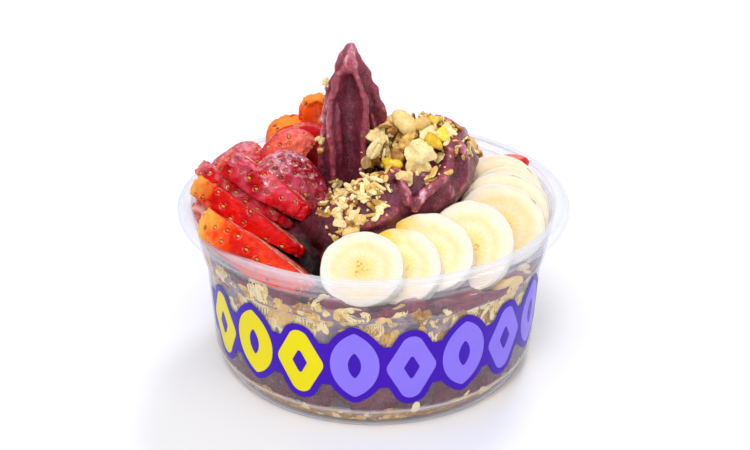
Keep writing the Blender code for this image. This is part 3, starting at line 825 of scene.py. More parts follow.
def melted(parts, voxel=0.5, rounds=3):
    """One skin round overlapping solids, with softened joins: points, faces, neighbours."""
    points, faces, first = [], [], 0
    for p, f in parts:
        points.append(p)
        faces += [np.asarray(x) + first for x in f]
        first += len(p)
    obj = mesh_object("melt", np.vstack(points), [r for f in faces for r in f.tolist()])
    remesh = obj.modifiers.new("melt", 'REMESH')
    remesh.mode, remesh.voxel_size = 'VOXEL', voxel * MM
    made = bpy.data.meshes.new_from_object(obj.evaluated_get(bpy.context.evaluated_depsgraph_get()))
    bpy.data.objects.remove(obj)
    points = coordinates(made)
    edges = np.zeros(len(made.edges) * 2, int)
    made.edges.foreach_get("vertices", edges)
    quads = np.array([list(p.vertices) for p in made.polygons if len(p.vertices) == 4])
    tris = np.array([list(p.vertices) for p in made.polygons if len(p.vertices) == 3]).reshape(-1, 3)
    bpy.data.meshes.remove(made)
    edges = edges.reshape(-1, 2)
    return spread(points, edges, rounds), [quads, tris], edges


def settled(points, faces, edges, rounds, share=0.8):
    """Points with the hollows between ridges filled, while the ridges keep their edges."""
    for k in range(rounds):
        if k % 6 == 0:
            normals = outward(points, faces)
        rise = np.sum((spread(points, edges, 1, 1.0) - points) * normals, 1)
        points = points + normals * (share * np.maximum(rise, 0))[:, None]
    return points


def spread(values, edges, rounds, share=0.6):
    """Values at points, each moved towards the mean of its neighbours a few times."""
    count = np.bincount(edges.ravel(), minlength=len(values)).astype(float)
    values = values.reshape(len(count), -1)
    for _ in range(rounds):
        total = np.zeros_like(values)
        for k in range(values.shape[1]):
            total[:, k] = (np.bincount(edges[:, 0], values[edges[:, 1], k], len(values))
                           + np.bincount(edges[:, 1], values[edges[:, 0], k], len(values)))
        values = values + share * (total / np.maximum(count, 1)[:, None] - values)
    return values


def point_normals(points, faces):
    total = np.zeros_like(points)
    for f in faces:
        if len(f):
            n = np.cross(points[f[:, 2]] - points[f[:, 0]], points[f[:, -1]] - points[f[:, 1]])
            for k in range(f.shape[1]):
                for c in range(3):
                    total[:, c] += np.bincount(f[:, k], n[:, c], len(points))
    return unit(total + 1e-12)


def outward(points, faces):
    normals = point_normals(points, faces)
    return normals if np.mean(np.sum(normals * (points - points.mean(0)), 1)) > 0 else -normals


def web(rib, axis, edge=0.7, core=1.8, steps=60):
    """A thin wall between a rib and the axis, thicker towards the axis."""
    outer, inner = spline(np.array(rib, float), steps), spline(np.array(axis, float), steps)
    inner = np.stack([np.interp(outer[:, 2], inner[::-1, 2], inner[::-1, k]) for k in range(3)], 1)
    inner[:, 2] = outer[:, 2]
    out = unit(outer[:, :3] - inner)
    side = np.cross((0, 0, 1), out)
    t, thin = np.linspace(-1, 1, 7)[None, :, None], np.linspace(core, edge, 7)[None, :, None]
    mid = inner[:, None] + (outer[:, None, :3] - inner[:, None]) * (t + 1) / 2
    return skin(np.concatenate([mid + side[:, None] * thin, (mid - side[:, None] * thin)[:, ::-1]], 1))


def make_frozen(parts, seed, coarse, fill, torn):
    """One frozen body from overlapping parts, with soft hollows and ragged ridges, and a colour share with
    painted shade in the hollows and painted highlight lines along the crests.
    """
    points, faces, edges = melted(parts, coarse, 1)
    points = settled(points, faces, edges, fill)
    points, faces, edges = melted([(points, faces)], 0.5, 2)
    normals = outward(points, faces)
    bulge = spread(np.sum((points - spread(points, edges, 30)) * normals, 1), edges, 3)[:, 0]
    crest = np.clip(bulge / 0.55, 0, 1)
    ragged = crest * torn * (noise(points, 2.2, seed) + 0.7 * noise(points, 4.6, seed + 1))
    points = points + normals * (ragged + surface_noise(points, seed + 2))[:, None]
    # painted highlight: narrow pale lines where the surface is sharpest, on top of the painted shade that
    # follows the bulge
    line = spread(np.sum((points - spread(points, edges, 7)) * normals, 1), edges, 1)[:, 0]
    top = np.clip((line / np.percentile(line, 98.5) - 0.55) / 0.45, 0, 1)
    ridge_shading = np.clip(0.30 + 0.42 * bulge + 0.42 * top * (0.6 + 0.8 * noise(points, 4.0, seed + 6))
                    + 0.06 * noise(points, 1.5, seed + 7), 0, 1)
    return points, faces, ridge_shading


def make_peak():
    parts = [tube(PEAK_AXIS, 28)] + [tube(row, 20, 0.5) for row in PEAK_RIBS + PEAK_WELTS]
    parts += [web(row, PEAK_AXIS) for row in PEAK_RIBS]
    points, faces, ridge_shading = make_frozen(parts, 41, 0.55, 16, 0.6)
    # painted light: the tip and the left face, where the light falls, are made paler
    high = np.clip((points[:, 2] - 118) / 8, 0, 1)
    left = np.clip((-15.5 - points[:, 0]) / 2, 0, 1) * np.clip((points[:, 2] - 78) / 10, 0, 1)
    ridge_shading = np.clip(0.18 + 0.62 * ridge_shading + 0.24 * high + 0.22 * left, 0, 1)
    points[:, 2] = np.minimum(points[:, 2], PEAK_TOP)
    return place(piece("acai_peak", points, faces, LOOKS["swirl"], {"ridge_shading": ridge_shading}),
                 "acai", "acai_swirl")


def make_coil():
    parts = [tube(row, 36) for row in COIL] + [tube(row, 20, 0.5) for row in RIDGES]
    points, faces, ridge_shading = make_frozen(parts, 54, 0.9, 66, 0.45)
    # painted shade: the rope is darker low down and towards its left end, where shade falls
    low = np.clip((points[:, 2] - 62) / 14, 0, 1)
    left = np.clip((points[:, 0] + 26) / 16, 0, 1)
    ridge_shading = ridge_shading * (0.25 + 0.75 * low) * (0.20 + 0.80 * left)
    return place(piece("acai_coil", points, faces, LOOKS["swirl"], {"ridge_shading": ridge_shading}),
                 "acai", "acai_swirl")


# ======== bananas
BANANA_T = 6.2
BANANAS = (
    ((-4.5, -58.5, 65.2), -14, 42, 15.3, 13.8, 0), ((9.2, -54.0, 63.8), -14, 42, 15.2, 14.4, 0),
    ((19.6, -46.6, 65.4), -12, 42, 17.0, 14.8, -8), ((35.2, -39.0, 64.0), -8, 42, 16.4, 18.0, -10),
    ((48.5, -22.0, 64.5), -4, 32, 17.4, 16.0, -15), ((51.2, -12.6, 65.0), 0, 27, 17.6, 15.8, -15),
    ((52.5, -4.4, 63.8), 2, 24, 17.2, 15.6, -15), ((51.2, 3.8, 65.4), 4, 22, 17.2, 15.6, -15))
HONEY = {1: (-0.5, 0.75, 0.55), 2: (-0.75, 0.55, 0.5)}     # slice: middle and reach of its glaze


def make_banana(index, row, around=144):
    centre, heading, lean, half_w, half_h, turn = row
    h, e = radians(heading), radians(lean)
    normal = np.array([sin(h) * cos(e), -cos(h) * cos(e), sin(e)])
    side = unit(np.cross((0, 0, 1), normal))
    up = np.cross(normal, side)
    soft = 1.3                                # how far the cut edge is rounded
    face = [(s, 0.0, 0.0) for s in np.linspace(0.02, 1, 40) ** 0.85]
    bend = [(1.0, soft * (1 - cos(t)), soft * sin(t)) for t in np.linspace(0.2, pi / 2, 6)]
    wall = [(1.0, d, soft) for d in np.linspace(soft, BANANA_T - soft, 9)[1:]]
    steps = ([(s, 0.0, -soft * (1 - s)) for s, _, _ in face] + [(s, d, out - soft) for s, d, out in bend]
             + [(s, d, 0.0) for s, d, _ in wall])
    steps += [(s, BANANA_T - d, out) for s, d, out in steps[len(face):len(face) + len(bend)][::-1]]
    steps += [(s, BANANA_T, out) for s, _, out in steps[:len(face)][::-1]]
    a = np.linspace(0, 2 * pi, around, endpoint=False)
    circle = np.stack([np.cos(a) * 5, np.sin(a) * 5, np.full_like(a, index * 9.0)], -1)
    outline = 1 + 0.022 * noise(circle, 3.0, 61) + 0.012 * noise(circle, 1.2, 62)
    tilt = radians(turn)
    rings, disc = [], []
    for s, depth, out in steps:
        x = (half_w * s + out * (s > 0.97)) * outline * np.cos(a)
        y = (half_h * s + out * (s > 0.97)) * outline * np.sin(a)
        px, py = x * cos(tilt) - y * sin(tilt), x * sin(tilt) + y * cos(tilt)
        rings.append(np.array(centre) + px[:, None] * side + py[:, None] * up - depth * normal)
        flag = np.clip((depth - 0.35) / 0.8, 0, 1) if depth < BANANA_T / 2 else \
            np.clip((BANANA_T - depth - 0.35) / 0.8, 0, 1)
        disc.append(np.stack([px / half_w, py / half_h, np.full_like(px, flag)], -1))
    rings, disc = np.array(rings), np.array(disc)
    radius = np.hypot(disc[..., 0], disc[..., 1])
    angle = np.arctan2(disc[..., 1], disc[..., 0])
    relief = 0.22 * fractal(rings, 6, 3, 63 + index) + 0.06 * noise(rings, 0.9, 64)
    on_face = 1 - disc[..., 2]
    relief -= on_face * 0.35 * np.exp(-(radius / (0.12 + 0.05 * np.cos(3 * angle))) ** 2)
    relief += on_face * 0.25 * np.exp(-((radius - 0.52) / 0.16) ** 2)
    relief -= on_face * 0.5 * np.clip((radius - 0.86) / 0.14, 0, 1) ** 2
    rings = rings + ring_normals(rings) * relief[..., None]
    honey = np.zeros(radius.shape)
    if index in HONEY:
        hx, hy, reach = HONEY[index]
        near = np.hypot(disc[..., 0] - hx, disc[..., 1] - hy) / reach
        honey = np.clip(1.25 - near + 0.35 * noise(rings, 3.5, 65), 0, 1)
    flags = [disc[..., k] for k in range(3)]
    points, faces, x, y, z, honey = skin(inside_bowl(rings), *flags, honey)
    shares = {"disc": np.stack([x, y, z], -1), "honey": honey}
    name = f"banana_{index + 1:02d}"
    return place(piece("slice_of_" + name, points, faces, LOOKS["banana"], shares), "banana", name)


# ======== strawberries
BERRY_OUTLINE = ((0, .5), (.24, .465), (.50, .36), (.76, .18), (.95, -.04),
                 (1.0, -.20), (.90, -.37), (.55, -.48), (0, -.5))
FAN_AXIS, FAN_CUT = (0.74, -0.65, -0.20), (-0.57, -0.345, -0.744)
BERRIES = (   # name, middle, stem-to-tip axis, cut normal, length, radius, two cuts, look, seed tone
    ("slice_01", (-40.4, -43.5, 63.7), FAN_AXIS, FAN_CUT, 52, 17.0, -2.6, 9.0, "orange_berry", 0.5),
    ("slice_02", (-46.1, -23.8, 67.4), FAN_AXIS, FAN_CUT, 52, 17.0, -3.2, 3.2, "scarlet_berry", 0.5),
    ("slice_03", (-48.1, -13.1, 71.5), FAN_AXIS, FAN_CUT, 46, 15.0, -2.3, 2.1, "red_berry", 0.4),
    ("slice_04", (-40.0, -16.6, 76.4), FAN_AXIS, FAN_CUT, 44, 15.5, -5.5, 4.1, "red_berry", 0.3),
    ("cap_01", (-30, -12, 71.5), (.80, -.50, -.33), (-.45, -.25, -.857), 35, 15.2, -20, 3.0,
     "wine_berry", 0.2),
    ("slice_05", (-58, -27, 58), (.45, -.72, -.53), (-.84, -.50, .2), 40, 14, -3.5, 3.5, "wine_berry", 0.6),
    ("cap_02", (-56, 16, 67.6), (-.92, .05, -.38), (-.2, .2, -.96), 30, 13, -18, 2, "red_berry", 0.5),
    ("cap_03", (-35.3, 15, 75), (-.35, .80, -.48), (.35, .45, -.82), 30, 12.5, -17, 2, "pink_berry", 0.5),
    ("slice_06", (-24.5, 21, 72.5), (.85, .10, -.5), (.1, -.95, .3), 32, 14, -4, 4, "pink_berry", 0.5),
    ("slice_07", (-33, 33, 71), (0, .2, -.98), (.2, -.93, -.25), 34, 12, -3.5, 3.5, "back_berry", 0.5),
    ("slice_08", (-23.5, 31, 81), (.05, .1, -.99), (.1, -.95, -.2), 34, 7, -3, 3, "back_berry", 0.5),
    ("cap_04", (14, 37, 71), (.6, .7, -.38), (-.2, -.4, -.9), 34, 14, -19, 2, "red_berry", 0.5),
    ("slice_09", (58.5, 26, 55.5), (.3, .3, -.9), (.75, -.6, .1), 32, 13, -3.5, 3.5, "pink_berry", 0.5),
    ("cap_05", (-18, 54, 64), (-.75, .60, -.25), (-.1, -.5, -.86), 36, 14.5, -20, 2, "red_berry", 0.5),
    ("slice_10", (2, 53, 64), (.75, .40, -.5), (0, .75, -.66), 40, 14.5, -4, 4, "back_berry", 0.5),
    ("slice_11", (33, 48, 62), (.75, -.35, -.5), (.35, .75, -.5), 38, 14, -4, 4, "red_berry", 0.5))
SEED_GAPS = {"orange_berry": 5.9, "scarlet_berry": 5.7, "back_berry": 4.6,    # between seeds
             "red_berry": 5.3, "wine_berry": 4.3, "pink_berry": 5.0}
SWELL = 0.7                                 # how much thicker a slice is than its solid


def even_angles(radius, low, high, count):
    """Angles that split the cut circle's outline into equal lengths."""
    a = np.linspace(0, 2 * pi, 2001)
    reach = np.minimum(radius, plane_reach(a, low, high))
    xy = np.stack([reach * np.cos(a), reach * np.sin(a)], -1)
    length = np.concatenate([[0], np.cumsum(np.linalg.norm(np.diff(xy, axis=0), axis=1))])
    return np.interp(np.linspace(0, length[-1], count, endpoint=False), length, a)


def plane_reach(a, low, high):
    """How far out the two cuts lie at an angle round the berry's axis."""
    c = np.cos(a)
    back = np.where(c < -1e-6, low / np.minimum(c, -1e-6), 1e6)
    return np.where(c > 1e-6, high / np.maximum(c, 1e-6), back)


def make_berry(index, row, seeds, fine=1.0):
    name, centre, axis, normal, length, radius, low, high, look, tone = row
    low, high = low - SWELL, high + SWELL
    rng = np.random.default_rng(100 + index)
    z_axis = unit(axis)
    x_axis = unit(np.array(normal) - np.dot(normal, z_axis) * z_axis)
    y_axis = np.cross(z_axis, x_axis)
    basis = np.array([x_axis, y_axis, z_axis])
    m, n = int(120 * fine), int(180 * fine)
    outline = spline(BERRY_OUTLINE, m) * (radius, length)
    outline[:, 0] = np.maximum(outline[:, 0], 0.15)
    a = even_angles(radius, low, high, n)
    whole = outline[:, :1] + 0 * a[None, :]
    thin = 0.5 if high - low < 14 else 0.0     # how much a slice thins towards its tip

    def cut_at(angle, z):
        tip = np.clip((z / length - 0.08) / 0.40, 0, 1)
        return plane_reach(angle, low, high) * (1 - thin * tip ** 1.4)

    limit = cut_at(a[None, :], outline[:, 1:])
    soft = 0.35
    spot = np.stack([whole * np.cos(a), whole * np.sin(a), outline[:, 1:] + 0 * whole], -1) + 31 * index
    limit = limit + 0.45 * noise(spot, 6, 76) + 0.28 * noise(spot, 2.2, 77)
    reach = (whole + limit - np.sqrt((whole - limit) ** 2 + soft ** 2)) / 2
    skin_share = 1 / (1 + np.exp(np.clip((whole - limit) / 0.25, -30, 30)))
    local = np.stack([reach * np.cos(a), reach * np.sin(a), outline[:, 1:] + 0 * reach], -1)
    wobble = 0.9 * noise(local + 50 * index, 13, 71) + 0.35 * noise(local + 50 * index, 5, 72)
    normals = ring_normals(local)
    if np.sum(normals[m // 2] * local[m // 2] * (1, 1, 0)) < 0:
        normals = -normals
    local = local + normals * (wobble * (0.35 + 0.65 * skin_share))[..., None]

    # seeds in staggered rows along the skin, kept off the cut edges
    spots, along = [], []
    gap = SEED_GAPS[look]
    heights = np.arange(-0.44 * length, 0.46 * length, gap * 0.86)
    for k, z in enumerate(heights):
        r = np.interp(-z, -outline[:, 1], outline[:, 0])
        count = max(4, int(2 * pi * r / (gap * 1.05)))
        for j in range(count):
            angle = 2 * pi * (j + 0.5 * (k % 2) + rng.uniform(-0.16, 0.16)) / count
            zz = z + rng.uniform(-0.5, 0.5)
            if cut_at(np.array(angle % (2 * pi)), z) - r > 0.9:
                i0 = np.argmin(np.abs(outline[:, 1] - zz))
                j0 = np.argmin(np.abs((a - angle + pi) % (2 * pi) - pi))
                spots.append((i0, j0))
    dimple = np.zeros(reach.shape)
    if spots:
        i0, j0 = np.array(spots).T
        spot_points = local[i0, j0]
        meridian = unit(local[np.minimum(i0 + 1, m - 1), j0] - local[np.maximum(i0 - 1, 0), j0])
        spot_normals = normals[i0, j0]
        flat = local.reshape(-1, 3)
        nearest = np.full(len(flat), 1e9)
        for p in spot_points:
            nearest = np.minimum(nearest, np.sum((flat - p) ** 2, 1))
        nearest = np.sqrt(nearest).reshape(reach.shape)
        dimple = np.exp(-(nearest / 1.05) ** 2) * skin_share
        swell = np.exp(-((nearest - 1.8) / 0.6) ** 2) * skin_share
        local = local + normals * (0.06 * swell - 0.5 * dimple)[..., None]
        for p, t, w in zip(spot_points, meridian, spot_normals):
            at = np.array(centre) + (p - 0.40 * w) @ basis
            colour, size = np.clip(tone + rng.uniform(-0.25, 0.35), 0, 1), rng.uniform(0.85, 1.15)
            if np.allclose(inside_bowl(at), at):
                seeds.append((at, t @ basis, w @ basis, colour, size))
    local = local + normals * (0.10 * noise(local, 0.9, 73) + 0.16 * noise(local, 2.0, 75))[..., None]
    torn = np.clip((np.abs(outline[:, 1:] / length) - 0.38) / 0.08, 0, 1)
    torn = torn * (0.7 * noise(local, 2.2, 78) + 0.5 * noise(local, 1.0, 79))
    local = local + normals * torn[..., None]
    rings = np.array(centre) + local @ basis
    share = np.clip(reach / np.maximum(whole, 0.3), 0, 1)
    stem = (0.5 - outline[:, 1:] / length) + 0 * reach + 0.05 * noise(local, 4, 74)
    up = (ring_normals(local) @ basis)[..., 2]
    up = np.clip(up * np.sign(np.sum(ring_normals(local)[m // 2] * normals[m // 2])), 0, 1)
    points, faces, *values = skin(inside_bowl(rings), skin_share, share, dimple, stem, up)
    shares = dict(zip(("skin", "share", "dimple", "stem", "up"), values))
    return place(piece("cut_strawberry_" + name, points, faces, LOOKS[look], shares),
                 "strawberry", "strawberry_" + name)


def make_seeds(rows):
    """Every strawberry seed, each set in its dimple."""
    shape = ball(6, 9) * (0.52, 0.88, 0.32)
    shape[..., 0] *= 1 - 0.25 * shape[..., 1] / 0.78
    template, faces = skin(shape)
    points, all_faces, tone = [], [[], []], []
    for k, (at, along, normal, colour, size) in enumerate(rows):
        side = unit(np.cross(along, normal))
        basis = np.array([side, along, normal])
        points.append(at + template * size @ basis)
        first = k * len(template)
        all_faces[0].append(faces[0] + first)
        all_faces[1] += [faces[1] + first, faces[2] + first]
        tone.append(np.full(len(template), colour))
    obj = piece("strawberry_seeds", np.vstack(points), [np.vstack(f) for f in all_faces],
                LOOKS["seed"], {"tone": np.concatenate(tone)})
    return place(obj, "strawberry")


def make_fruit():
    for index, row in enumerate(BANANAS):
        make_banana(index, row)
    seeds = []
    for index, row in enumerate(BERRIES):
        make_berry(index, row, seeds, 1.15 if index < 5 else 0.8)
    make_seeds(seeds)


# ======== granola
def oat_shape(rng):
    """A rolled oat: a thin, bent oval with a crease and a torn edge."""
    p = ball(9, 18)
    long_, wide, thick = rng.uniform(3.0, 4.4), rng.uniform(2.2, 3.2), rng.uniform(0.45, 0.75)
    start = rng.uniform(0, 90, 3)
    torn = 1 + 0.16 * noise(p * 3 + start, 1.7, 81)
    x, y = p[..., 0] * long_ * torn, p[..., 1] * wide * torn
    z = np.sign(p[..., 2]) * np.abs(p[..., 2]) ** 0.6 * thick
    z = z + rng.uniform(-0.9, 0.9) * (x / long_) ** 2 + rng.uniform(-0.7, 0.7) * (y / wide) ** 2
    z = z - np.where(p[..., 2] > 0, 0.4, -0.1) * np.exp(-(y / 0.45) ** 2)
    rings = np.stack([x, y, z], -1)
    return rings + 0.28 * noise(rings + start, 1.0, 82)[..., None] * p


def chunk_shape(rng, size=2.1, rough=0.42, rows=12, around=20):
    """A baked lump with an uneven, faceted surface."""
    p = ball(rows, around)
    start = rng.uniform(0, 90, 3)
    half = size * rng.uniform(0.6, 1.25, 3)
    cuts = unit(rng.normal(0, 1, (7, 3)))
    flat = 0.62 / np.maximum(p @ cuts.T, 1e-3)
    shape = np.minimum(1.0, np.min(np.where(flat > 0, flat, 9), -1))
    lump = shape * (1 + rough * fractal(p * 1.0 + start, 0.7, 2, 83))
    return p * half * lump[..., None]


def shard_shape(rng):
    """A broken bit of oat: a bent, blocky sliver."""
    p = ball(9, 14)
    p = np.sign(p) * np.abs(p) ** 0.62
    half = np.array([rng.uniform(1.8, 3.3), rng.uniform(0.6, 1.2), rng.uniform(0.4, 0.75)])
    start = rng.uniform(0, 90, 3)
    p = p * half * (1 + 0.22 * noise(p * 1.6 + start, 1.3, 85))[..., None]
    p[..., 2] += rng.uniform(-0.6, 0.6) * (p[..., 0] / half[0]) ** 2
    return p + 0.26 * noise(p + start, 0.9, 86)[..., None]


def flake_shape(rng):
    """A crumpled flake: a bent plate with a broken outline and a creased surface."""
    p = ball(15, 30)
    a = np.arctan2(p[..., 1], p[..., 0]) / (2 * pi) % 1
    corners = rng.uniform(0.55, 1.2, 7)
    out = np.interp(a * 7, np.arange(8), np.append(corners, corners[0]))
    half = np.array([rng.uniform(2.8, 4.4), rng.uniform(1.8, 2.9), rng.uniform(0.32, 0.6)])
    start = rng.uniform(0, 90, 3)
    x, y = p[..., 0] * out * half[0], p[..., 1] * out * half[1]
    z = np.sign(p[..., 2]) * np.abs(p[..., 2]) ** 0.55 * half[2]
    bend = rng.uniform(-1, 1, 3)
    u, v = x / half[0], y / half[1]
    z = z + bend[0] * u ** 2 + bend[1] * v ** 2 + 0.7 * bend[2] * u * v
    rings = np.stack([x, y, z], -1)
    rings[..., 2] += 1.3 * np.abs(noise(rings * (1, 1, 0) + start, 2.2, 87))
    return rings + 0.30 * noise(rings + start, 0.9, 88)[..., None] * p


def nut_shape(rng):
    """Half a peanut or a bit of almond: smooth, long and slightly grooved."""
    p = ball(13, 20)
    half = np.array([rng.uniform(4.6, 6.0), rng.uniform(3.2, 4.0), rng.uniform(2.3, 3.0)])
    waist = 1 - 0.10 * np.exp(-(p[..., 0] / 0.3) ** 2)
    start = rng.uniform(0, 90, 3)
    return p * half * (waist * (1 + 0.07 * fractal(p + start, 0.8, 2, 84)))[..., None]


def crumb_shape(rng):
    return chunk_shape(rng, rng.uniform(0.5, 1.2), 0.4, 5, 8)


KINDS = {   # shape function, look, how many shapes are made
    "oat": (oat_shape, "oat", 14), "flake": (flake_shape, "oat", 20),
    "shard": (shard_shape, "oat", 18), "chunk": (chunk_shape, "oat", 12),
    "nut": (nut_shape, "nut", 5), "honey": (chunk_shape, "honey", 5), "crumb": (crumb_shape, "crumb", 10)}


class Pile:
    """Pieces of granola gathered by kind, and made into one mesh for each kind at the end."""

    def __init__(self, name):
        self.name = name
        self.rows = {kind: [] for kind in KINDS}

    def add(self, kind, at, normal, rng, size=1.0, tilt=0.5, press=False):
        facing = unit(np.asarray(normal, float) + rng.normal(0, tilt, 3))
        along = rng.normal(0, 1, 3)
        side = unit(np.cross(facing, along))
        basis = np.array([np.cross(side, facing), side, facing]) * size
        self.rows[kind].append((np.asarray(at, float), basis, rng.uniform(0, 1),
                                rng.integers(1 << 30), press))

    def finish(self, slot="granola"):
        for kind, rows in self.rows.items():
            if not rows:
                continue
            maker, look, count = KINDS[kind]
            rng = np.random.default_rng(len(kind) * 7 + 1)
            shapes = [skin(maker(rng)) for _ in range(count)]
            points, quads, tris, tone, first = [], [], [], [], 0
            for at, basis, colour, pick, press in rows:
                template, faces = shapes[pick % count]
                moved = at + template @ basis
                points.append(inside_bowl(moved) if press else moved)
                quads.append(faces[0] + first)
                tris += [faces[1] + first, faces[2] + first]
                tone.append(np.full(len(template), colour))
                first += len(template)
            obj = piece(f"{self.name}_{kind}s", np.vstack(points), [np.vstack(quads), np.vstack(tris)],
                        LOOKS[look], {"tone": np.concatenate(tone)}, kind in ("nut", "honey"))
            place(obj, slot)


def node_surface(name):
    """Corner points and outward normals of a CAD node's triangles."""
    data = NODES[name].data
    data.calc_loop_triangles()
    tri = np.zeros(len(data.loop_triangles) * 3, int)
    data.loop_triangles.foreach_get("vertices", tri)
    corners = coordinates(data)[tri.reshape(-1, 3)]
    normal = np.cross(corners[:, 1] - corners[:, 0], corners[:, 2] - corners[:, 0])
    return corners, normal


def scattered(name, count, rng, lowest=-0.3, apart=3.0):
    """Spots on a CAD node's surface that face up or outward, kept apart."""
    corners, normal = node_surface(name)
    area = np.linalg.norm(normal, axis=1)
    facing = normal / np.maximum(area, 1e-9)[:, None]
    area = np.where(facing[:, 2] > lowest, area, 0)
    spots = []
    for _ in range(count * 30):
        if len(spots) >= count:
            break
        k = rng.choice(len(area), p=area / area.sum())
        u, v = rng.uniform(0, 1, 2)
        if u + v > 1:
            u, v = 1 - u, 1 - v
        at = corners[k, 0] + u * (corners[k, 1] - corners[k, 0]) + v * (corners[k, 2] - corners[k, 0])
        if all(np.sum((at - s) ** 2) > apart ** 2 for s, _ in spots):
            spots.append((at, facing[k]))
    return spots


def surface_of(*names):
    """A tree of finished pieces' faces, for finding the surface along a ray, in mm."""
    points, faces, first = [], [], 0
    for name in names:
        data = bpy.data.objects[name].data
        points += coordinates(data).tolist()
        faces += [[v + first for v in p.vertices] for p in data.polygons]
        first += len(data.vertices)
    return BVHTree.FromPolygons(points, faces)


FROM = unit((0.0, -0.72, 0.69))              # side that the loose granola was dropped from
UPWARD = np.cross((1, 0, 0), FROM) * -1      # the way up across that side


def dropped(tree, pile, rng, centre, spread_x, spread_y, plan):
    """Loose pieces on the surface round a centre: kind, count, share of the spread, lift, size."""
    centre = np.array(centre, float)
    for kind, count, share, lift, size in plan:
        for _ in range(count):
            a, r = rng.uniform(0, 2 * pi), rng.uniform(0, 1) ** 0.55 * share
            at = centre + np.array((1, 0, 0)) * (r * cos(a) * spread_x) + UPWARD * (r * sin(a) * spread_y)
            hit, normal, _, _ = tree.ray_cast(Vector(at + FROM * 60), Vector(-FROM), 120)
            if hit is None:
                continue
            normal = unit(np.array(normal))
            if normal @ FROM < 0:
                normal = -normal
            rise = lift * (1 - 0.5 * r) + rng.uniform(-0.3, 0.3)
            pile.add(kind, np.array(hit) + (0.5 * normal + 0.5 * FROM) * rise, normal + 0.3 * FROM, rng,
                     size * rng.uniform(0.75, 1.2), 0.45)


PLACED = (      # single pieces: kind, place, facing, size
    ("nut", (11.6, -13.4, 103), (0.1, -0.6, 0.7), 1.1),
    ("nut", (18, -12.9, 102.4), (0.2, -0.5, 0.8), 0.75),
    ("honey", (22.6, -20.8, 98.4), (0.1, -0.9, 0.3), 1.75),
    ("honey", (25.8, -17.2, 99.8), (0.5, -0.7, 0.5), 1.4),
    ("honey", (6.3, -24.2, 90.4), (0, -0.9, 0.4), 1.75), ("honey", (20.4, -22, 95), (0, -0.9, 0.3), 1.2),
    ("flake", (16.4, -23.4, 95.6), (-0.2, -0.9, 0.3), 1.9),
    ("flake", (16.8, -24.2, 90.8), (0.1, -0.95, 0.2), 1.6),
    ("flake", (13.2, -20.2, 99), (-0.1, -0.8, 0.5), 1.2),
    ("flake", (20.6, -19.4, 100.4), (0.1, -0.7, 0.6), 1.3),
    ("flake", (28.4, -14.2, 100.2), (0.4, -0.7, 0.6), 1.1),
    ("flake", (4.2, -29.6, 85.6), (-0.3, -0.8, 0.5), 1.15),
    ("flake", (0.6, -30.4, 83.6), (-0.3, -0.8, 0.5), 1), ("flake", (8.8, -22.4, 93.6), (0, -0.8, 0.5), 1),
    ("chunk", (-0.6, -11.4, 97.6), (0.2, -0.9, 0.2), 1.15),
    ("oat", (0.4, -15, 92.8), (0.2, -0.9, 0.2), 1.05), ("oat", (2.8, -13.4, 97), (0.2, -0.9, 0.3), 0.8),
    ("chunk", (7.4, -14.2, 100.2), (0.2, -0.8, 0.6), 1),
    ("shard", (12.8, -29.4, 87), (0.2, -0.9, 0.4), 1.3),
    ("flake", (20.4, -28.8, 86), (0.2, -0.9, 0.4), 0.7),
    ("chunk", (-18, -0.8, 114.4), (-0.9, -0.4, 0.1), 0.9),
    ("chunk", (-20.8, -0.6, 91), (-0.9, -0.5, 0.1), 1),
    ("chunk", (-20.6, -1.6, 86.6), (-0.8, -0.6, 0.1), 0.9),
    ("flake", (31, -19.4, 94.6), (0.6, -0.8, 0.2), 0.7),
    ("chunk", (-4.6, -44.8, 77.6), (0, -0.9, 0.3), 1.25),
    ("nut", (-8.4, -46, 73.2), (0, -0.9, 0.3), 0.68), ("chunk", (33.8, -17, 90.6), (0.8, -0.6, 0.2), 0.7),
    ("shard", (-1.4, -33.6, 85.4), (0, -0.6, 0.8), 1.3),
    ("shard", (-12.2, -43.8, 76), (0, -0.9, 0.4), 1.3))


def make_core(node, seed, shrink, sink=0.0):
    """A smaller uneven core inside a CAD heap, at the darkest tone as painted shade between the pieces."""
    low, high = node_box(node)
    half = (high - low) / 2 * shrink
    p = ball(30, 44)
    lump = 1 + 0.22 * fractal(p * 3 + seed, 1.2, 2, 91)
    rings = (low + high) / 2 - (0, 0, sink) + p * half * lump[..., None]
    points, faces = skin(rings)
    # painted shade: the core takes the darkest tone, for the shade in the gaps between pieces
    core = piece(node + "_core", points, faces, LOOKS["crushed"],
                 {"tone": np.full(len(points), 0.05)})
    place(core, "granola", node)


def heap_pieces(node, pile, rng, plan, lowest=-0.3):
    """Loose pieces over a CAD heap: kind, count, gap between them, lift, size."""
    low, high = node_box(node)
    for kind, count, apart, lift, size in plan:
        for at, facing in scattered(node, count, rng, lowest, apart):
            at = at * 0.9 + (low + high) / 2 * 0.1
            pile.add(kind, at + facing * (lift + rng.uniform(-1.6, 0.8)), facing, rng,
                     size * rng.uniform(0.75, 1.15), 0.6)


